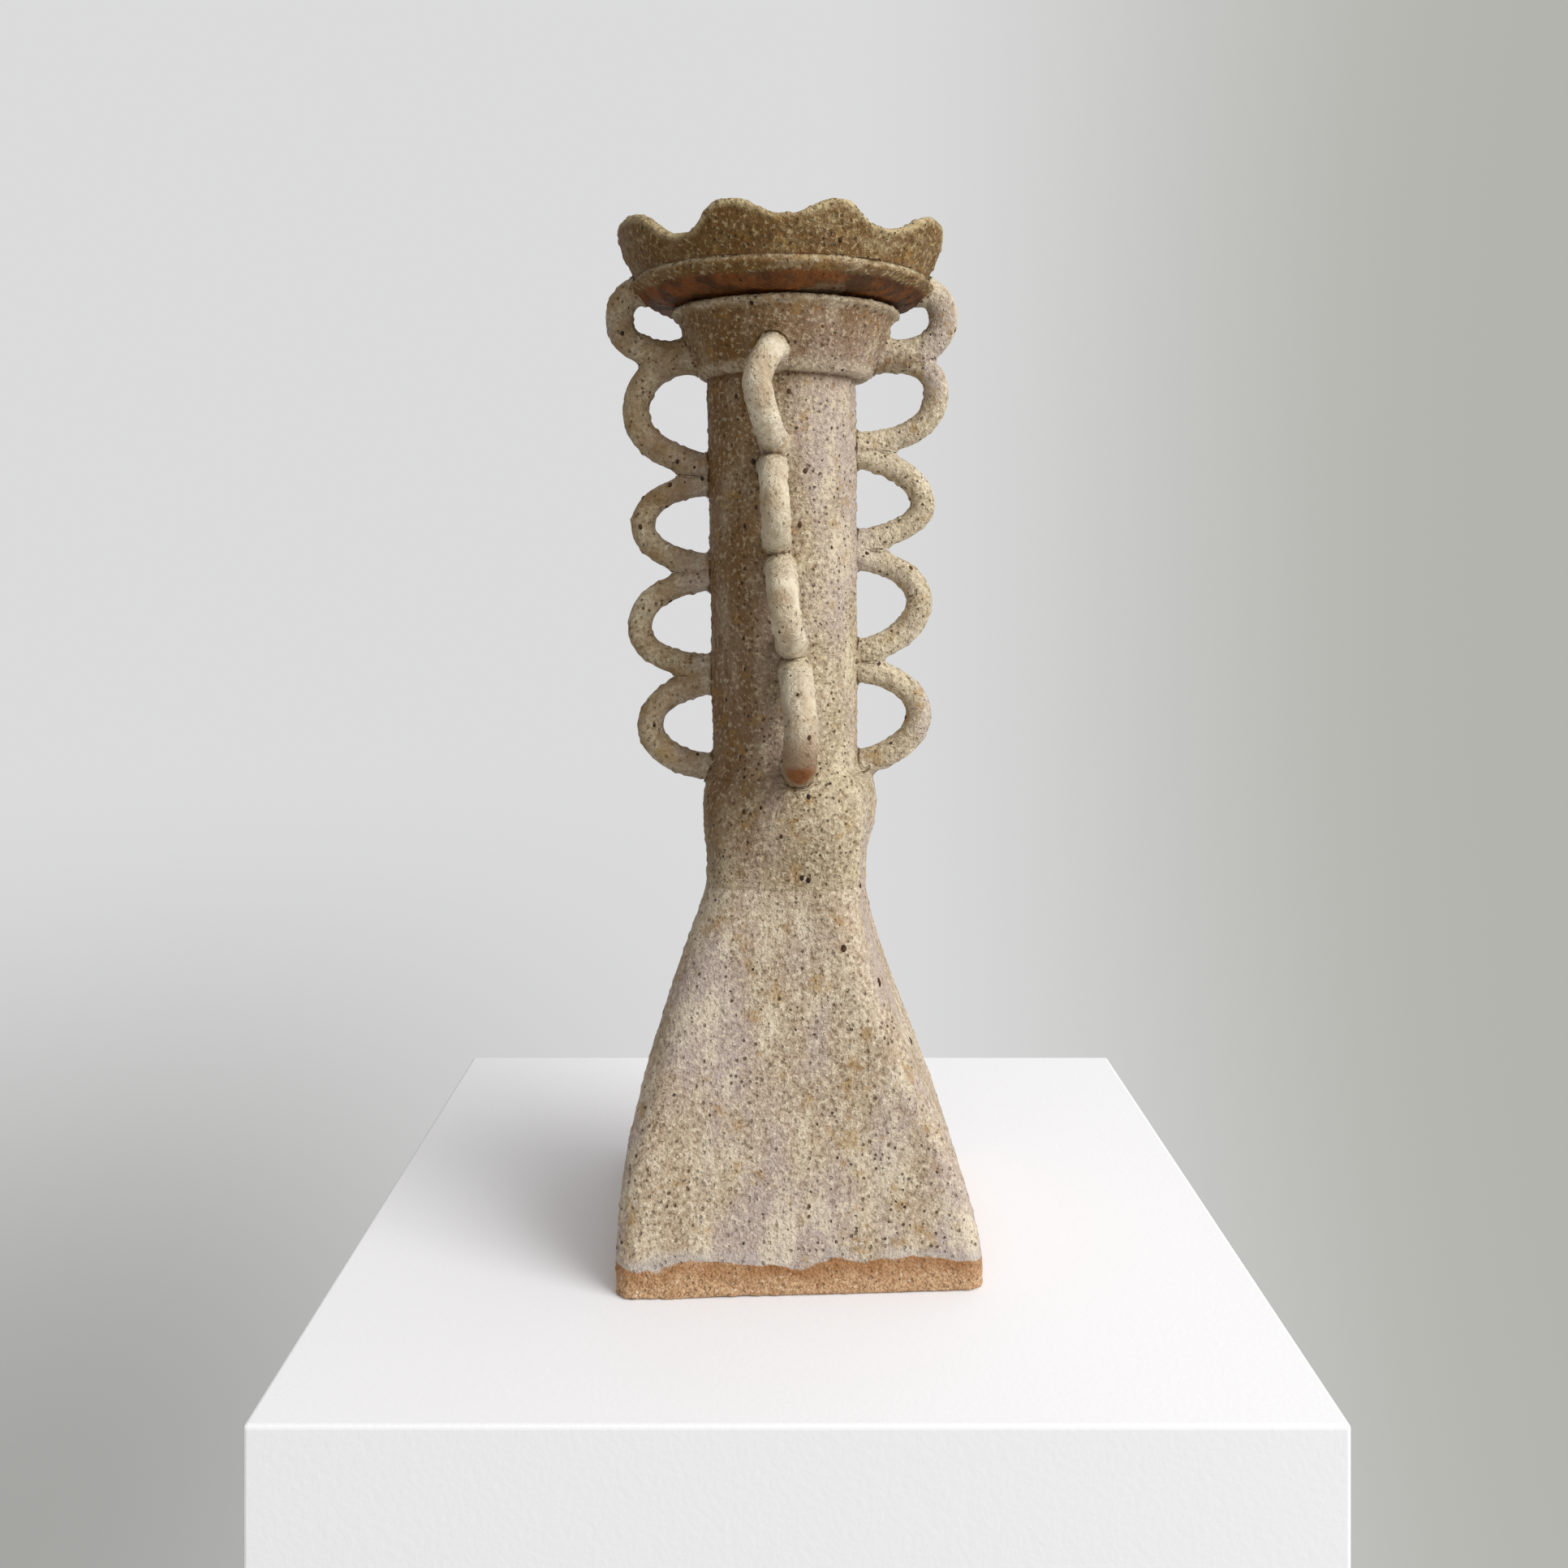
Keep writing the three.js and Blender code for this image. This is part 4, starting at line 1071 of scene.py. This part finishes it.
# The roughness of each kind of surface, in metres.
SKIN = {"wave": 0.9 * MM, "grain": 0.45 * MM, "tooth": 0.85 * MM, "sink": 0.25 * MM}
COIL_SKIN = {"wave": 1.5 * MM, "grain": 0.45 * MM, "tooth": 0.85 * MM, "sink": 0.1 * MM}
FOOT_SKIN = {"wave": 1.3 * MM, "grain": 0.34 * MM, "tooth": 0.55 * MM, "sink": 0.25 * MM}

# How far the darker brown near a joint reaches, how far the glaze breaks back from an edge, how far a skin
# stays inside the solids' box, and how far over the ground it is drawn down flat.
JOINT_DARKENING, EDGE_BREAK = 3.2, 6.0
BOX_MARGIN, GROUND_REACH = 0.1, 0.35
LOW, HIGH = np.array(cad_box) / MM


def mark_near(thing, mark, field, reach):
    """Marks on a piece's points how near they lie to something: 1 at its skin, 0 at reach away."""
    nearness = smooth_share(1 - np.abs(field(points_of(thing))) / reach)
    thing.data.attributes.new(mark, "FLOAT", "POINT").data.foreach_set("value", nearness)


def finish_piece(rough, clay, nodes, skin, joints=None, edges=(), grounded=False):
    """Roughens a smooth piece, marks its joints and edges for the glaze, keeps it inside the solids' box
    and puts it in place of its nodes."""
    name = rough.name
    rough.name = "smooth_" + name
    piece = grow_with(SKIN_TREE, rough, name, clay=clay, **skin)
    bpy.data.objects.remove(rough)
    if joints:
        mark_near(piece, "joint", joints, JOINT_DARKENING)
    if len(edges):
        lines = nearest_of([coil_field(edge, np.zeros(len(edge))) for edge in edges])
        mark_near(piece, "edge", lines, EDGE_BREAK)
    points = np.clip(points_of(piece), LOW + BOX_MARGIN, HIGH - BOX_MARGIN)
    if grounded:
        points[:, 2] = np.where(points[:, 2] < GROUND_REACH, 0.0, points[:, 2])
    move_points(piece, points)
    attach(piece, "root")
    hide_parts(*nodes)
    return piece


def turned_piece(name, profile, widest, centre, own, others):
    """A turned piece smeared over its joints, its facets as long as its widest ring needs."""
    profile = [profile[0], *evenly(profile[1:-1], STEP), profile[-1]]
    rings = turned_points(profile, centre, int(2 * math.pi * widest / STEP))
    return turned(name, smeared(rings, FIELDS[own], others), profile, centre)


# The pieces, from the ground up

def build_foot():
    out = smeared(FOOT_OUT, FIELDS["foot"], [(FIELDS["knuckle"], NECK_SMEAR)])
    foot = looped("foot", [out, carried_on(out[-1], out[-2], TUCKS), FOOT_IN])
    panels = [f"foot_panel_{side}" for side in ("front", "right", "back", "left")]
    lines = [hip_line(hip, np.linspace(0, 1, 40)) for hip in HIPS]
    return finish_piece(foot, FOOT_CLAY, panels, FOOT_SKIN, edges=lines, grounded=True)


def build_knuckle():
    feet = coils_near("loop_left_5", "loop_right_5", "loop_front_4", "loop_back_4")
    out = smeared(KNUCKLE_OUT + KNUCKLE_LEDGE, FIELDS["knuckle"], [
        (FIELDS["foot"], NECK_SMEAR), (FIELDS["column"], NECK_SMEAR), (feet, WALL_SMEAR),
    ])
    knuckle = looped("pinched_knuckle", [
        carried_on(out[0], out[1], TUCKS)[::-1], out, carried_on(out[-1], out[-2], TUCKS), KNUCKLE_IN,
    ])
    return finish_piece(knuckle, GLAZE, ["knuckle"], FOOT_SKIN, feet)


def build_column():
    every_coil = coils_near(*COIL_FIELDS)
    out = smeared(COLUMN_OUT, FIELDS["column"], [(FIELDS["knuckle"], NECK_SMEAR), (every_coil, WALL_SMEAR)])
    column = looped("rolled_column", [
        carried_on(out[0], out[1], TUCKS)[::-1], out, carried_on(out[-1], out[-2], TUCKS),
        column_rings(COLUMN_HEIGHTS[::-6], COLUMN_WALL),
    ])
    return finish_piece(column, GLAZE, ["column"], SKIN, nearest_of([every_coil, FIELDS["collar"]]))


def build_collar():
    tops = coils_near(*TIES, "loop_left_2", "loop_right_2", "loop_front_1", "loop_back_1")
    collar = turned_piece("flared_collar", collar_profile(), COLLAR_WAIST, COLLAR_CENTRE, "collar",
                          [(tops, COIL_SMEAR)])
    edges = [
        circle(COLLAR_CENTRE, COLLAR_RIM, COLLAR_TOP - 1.5),
        circle(COLLAR_CENTRE, COLLAR_ROLL, COLLAR_FOOT + 1.5),
    ]
    return finish_piece(collar, GLAZE, ["collar"], SKIN, tops, edges)


def build_bowl():
    others = [(coils_near(*TIES), COIL_SMEAR), (FIELDS["crown"], RIM_SMEAR)]
    bowl = turned_piece("flanged_bowl", bowl_profile(), FLANGE_RADIUS, (0, 0), "bowl", others)
    # The cream broken over the flange lip is partly the glaze's own and partly a painted highlight along it.
    edge = circle((0, 0), FLANGE_RADIUS - 1, FLANGE_TOP + 1.2)
    return finish_piece(bowl, WASH, ["bowl"], SKIN, FIELDS["crown"], [edge])


def build_crown():
    out = smeared(crown_rings(), FIELDS["crown"], [(FIELDS["bowl"], RIM_SMEAR)])
    crown = looped("scalloped_crown", [out])
    lip = []
    for angle in range(0, 363, 3):
        turn = math.radians(angle)
        height = lip_height(angle)
        radius = crown_radius(height)
        lip.append((radius * math.sin(turn), -radius * math.cos(turn), CROWN_FOOT + height))
    return finish_piece(crown, RIM_GLAZE, ["crown"], SKIN, FIELDS["bowl"], [np.array(lip)])


def build_coil(name, path, thick):
    """Rolls one loop's coil, smeared into the walls and the coils that it meets."""
    rail = mesh_object("rail", path, [], [(k, k + 1) for k in range(len(path) - 1)])
    coil = grow_with(COIL_TREE, rail, name.replace("loop", "coil"), thickness=thick * MM, arm_swell=ARM_SWELL,
                     sides=COIL_SIDES, clay=COIL_GLAZE)
    bpy.data.objects.remove(rail)
    met = [("column", WALL_SMEAR), ("knuckle", WALL_SMEAR), ("collar", COIL_SMEAR)]
    if name in TIES:
        met += [("bowl", COIL_SMEAR), ("crown", WALL_SMEAR)]
    walls = [(FIELDS[piece], reach) for piece, reach in met]
    beside = coils_near(*[other for other in COIL_FIELDS if other != name])
    reach = COIL_SMEAR if name.split("_")[1] in TIED_ROWS else FRONT_SMEAR
    move_points(coil, smeared(points_of(coil), COIL_FIELDS[name], walls + [(beside, reach)]))
    joints = nearest_of([beside] + [field for field, _ in walls])
    return finish_piece(coil, COIL_GLAZE, [name], COIL_SKIN, joints)


def scatter_specks(pieces):
    """One piece of all the melted specks that stand out of the glaze. The foot has fewer and larger ones."""
    specks = []
    for number, piece in enumerate(pieces):
        density, largest = (1600.0, 1.35) if piece.name == "foot" else (8000.0, 0.9)
        specks.append(grow_with(
            SPECK_TREE, piece, "specks_%02d" % number, specks_a_square_metre=density, smallest=0.18 * MM,
            largest=largest * MM, seed=number + 3, iron=IRON))
    bpy.ops.object.select_all(action="DESELECT")
    for speck in specks:
        speck.select_set(True)
    bpy.context.view_layer.objects.active = specks[0]
    bpy.ops.object.join()
    joined = specks[0]
    joined.name = "iron_specks"
    move_points(joined, np.clip(points_of(joined), LOW, HIGH))
    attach(joined, "root")


# The stage: the plinth that the chalice stands on, the camera and the light, in metres

PLINTH_SIDE, PLINTH_HEIGHT = 0.3045, 0.9
PLINTH_LEFT, PLINTH_FRONT = -0.148, -0.132
CAMERA_BACK, CAMERA_HEIGHT = 0.536, 0.2352


def build_stage():
    bpy.ops.mesh.primitive_cube_add(size=1)
    plinth = bpy.context.object
    plinth.name = "plinth"
    low = np.array([PLINTH_LEFT, PLINTH_FRONT, -PLINTH_HEIGHT])
    size = np.array([PLINTH_SIDE, PLINTH_SIDE, PLINTH_HEIGHT])
    for vertex in plinth.data.vertices:
        vertex.co = low + (np.array(vertex.co) + 0.5) * size
    bevel = plinth.modifiers.new("eased_edge", "BEVEL")
    bevel.width = 0.0012
    bevel.segments = 3
    plinth.data.materials.append(painted_board())


def build_camera():
    data = bpy.data.cameras.new("camera")
    data.sensor_width = 36.0
    data.lens = 33.82
    data.shift_x = 0.0016
    data.shift_y = -0.1377
    camera = bpy.data.objects.new("camera", data)
    camera.location = (0, -CAMERA_BACK, CAMERA_HEIGHT)
    camera.rotation_euler = (math.pi / 2, 0, 0)
    bpy.context.scene.collection.objects.link(camera)
    bpy.context.scene.camera = camera


def build_window():
    """A wide window to the right, above and in front."""
    data = bpy.data.lights.new("window", "AREA")
    data.size = 2.0
    data.energy = 79.0
    data.color = linear("#FFFEFC")[:3]
    lamp = bpy.data.objects.new("window", data)
    lamp.location = (2.1, -1.35, 1.7)
    lamp.rotation_euler = (Vector((0, 0, 0.16)) - lamp.location).to_track_quat("-Z", "Y").to_euler()
    bpy.context.scene.collection.objects.link(lamp)


def build_room():
    """A pale room that lights the chalice, brighter to the right, and the wall that the camera sees, painted
    darker to the right as the window's light falls off and with a painted shadow low on the left.
    """
    world = bpy.data.worlds.new("pale_room")
    bpy.context.scene.world = world
    world.use_nodes = True
    tree = world.node_tree
    tree.nodes.clear()
    way = add_node(tree, "ShaderNodeTexCoord").outputs["Generated"]
    axes = add_node(tree, "ShaderNodeSeparateXYZ", Vector=way).outputs
    # The wall that the camera sees carries painted shade: darker to the right as the window's light falls
    # off, and a painted shadow low on the left.
    painted_shadow_low_left = add_node(tree, "ShaderNodeMapRange", EASED, axes["X"], 0.05, -0.4)
    wall = laid_over(tree, "#DBDBDC", [
        (axes["X"], 0.02, 0.44, 1.0, "#B4B4AE"), (axes["Z"], -0.12, -0.5, painted_shadow_low_left, "#A5A5A2"),
    ])
    room = laid_over(tree, "#A09D99", [(axes["X"], -0.7, 0.5, 1.0, "#F2F2F2")])
    backdrop_with_painted_shade = add_node(tree, "ShaderNodeBackground", Color=wall, Strength=1.0)
    lit = add_node(tree, "ShaderNodeBackground", Color=room, Strength=0.92)
    rays = add_node(tree, "ShaderNodeLightPath")
    straight = 0.0
    for kind in ("Is Camera Ray", "Is Glossy Ray", "Is Transmission Ray"):
        straight = add_node(tree, "ShaderNodeMath", LARGER, rays.outputs[kind], straight)
    light = add_node(tree, "ShaderNodeMixShader", {}, straight, lit, backdrop_with_painted_shade)
    add_node(tree, "ShaderNodeOutputWorld", Surface=light)
    bpy.context.scene.view_settings.view_transform = "Standard"


build_camera()
build_stage()
build_window()
build_room()
chalice = [build_foot(), build_knuckle(), build_column(), build_collar(), build_bowl(), build_crown()]
chalice += [build_coil(name, path, thick) for name, path, thick in COILS]
scatter_specks(chalice)
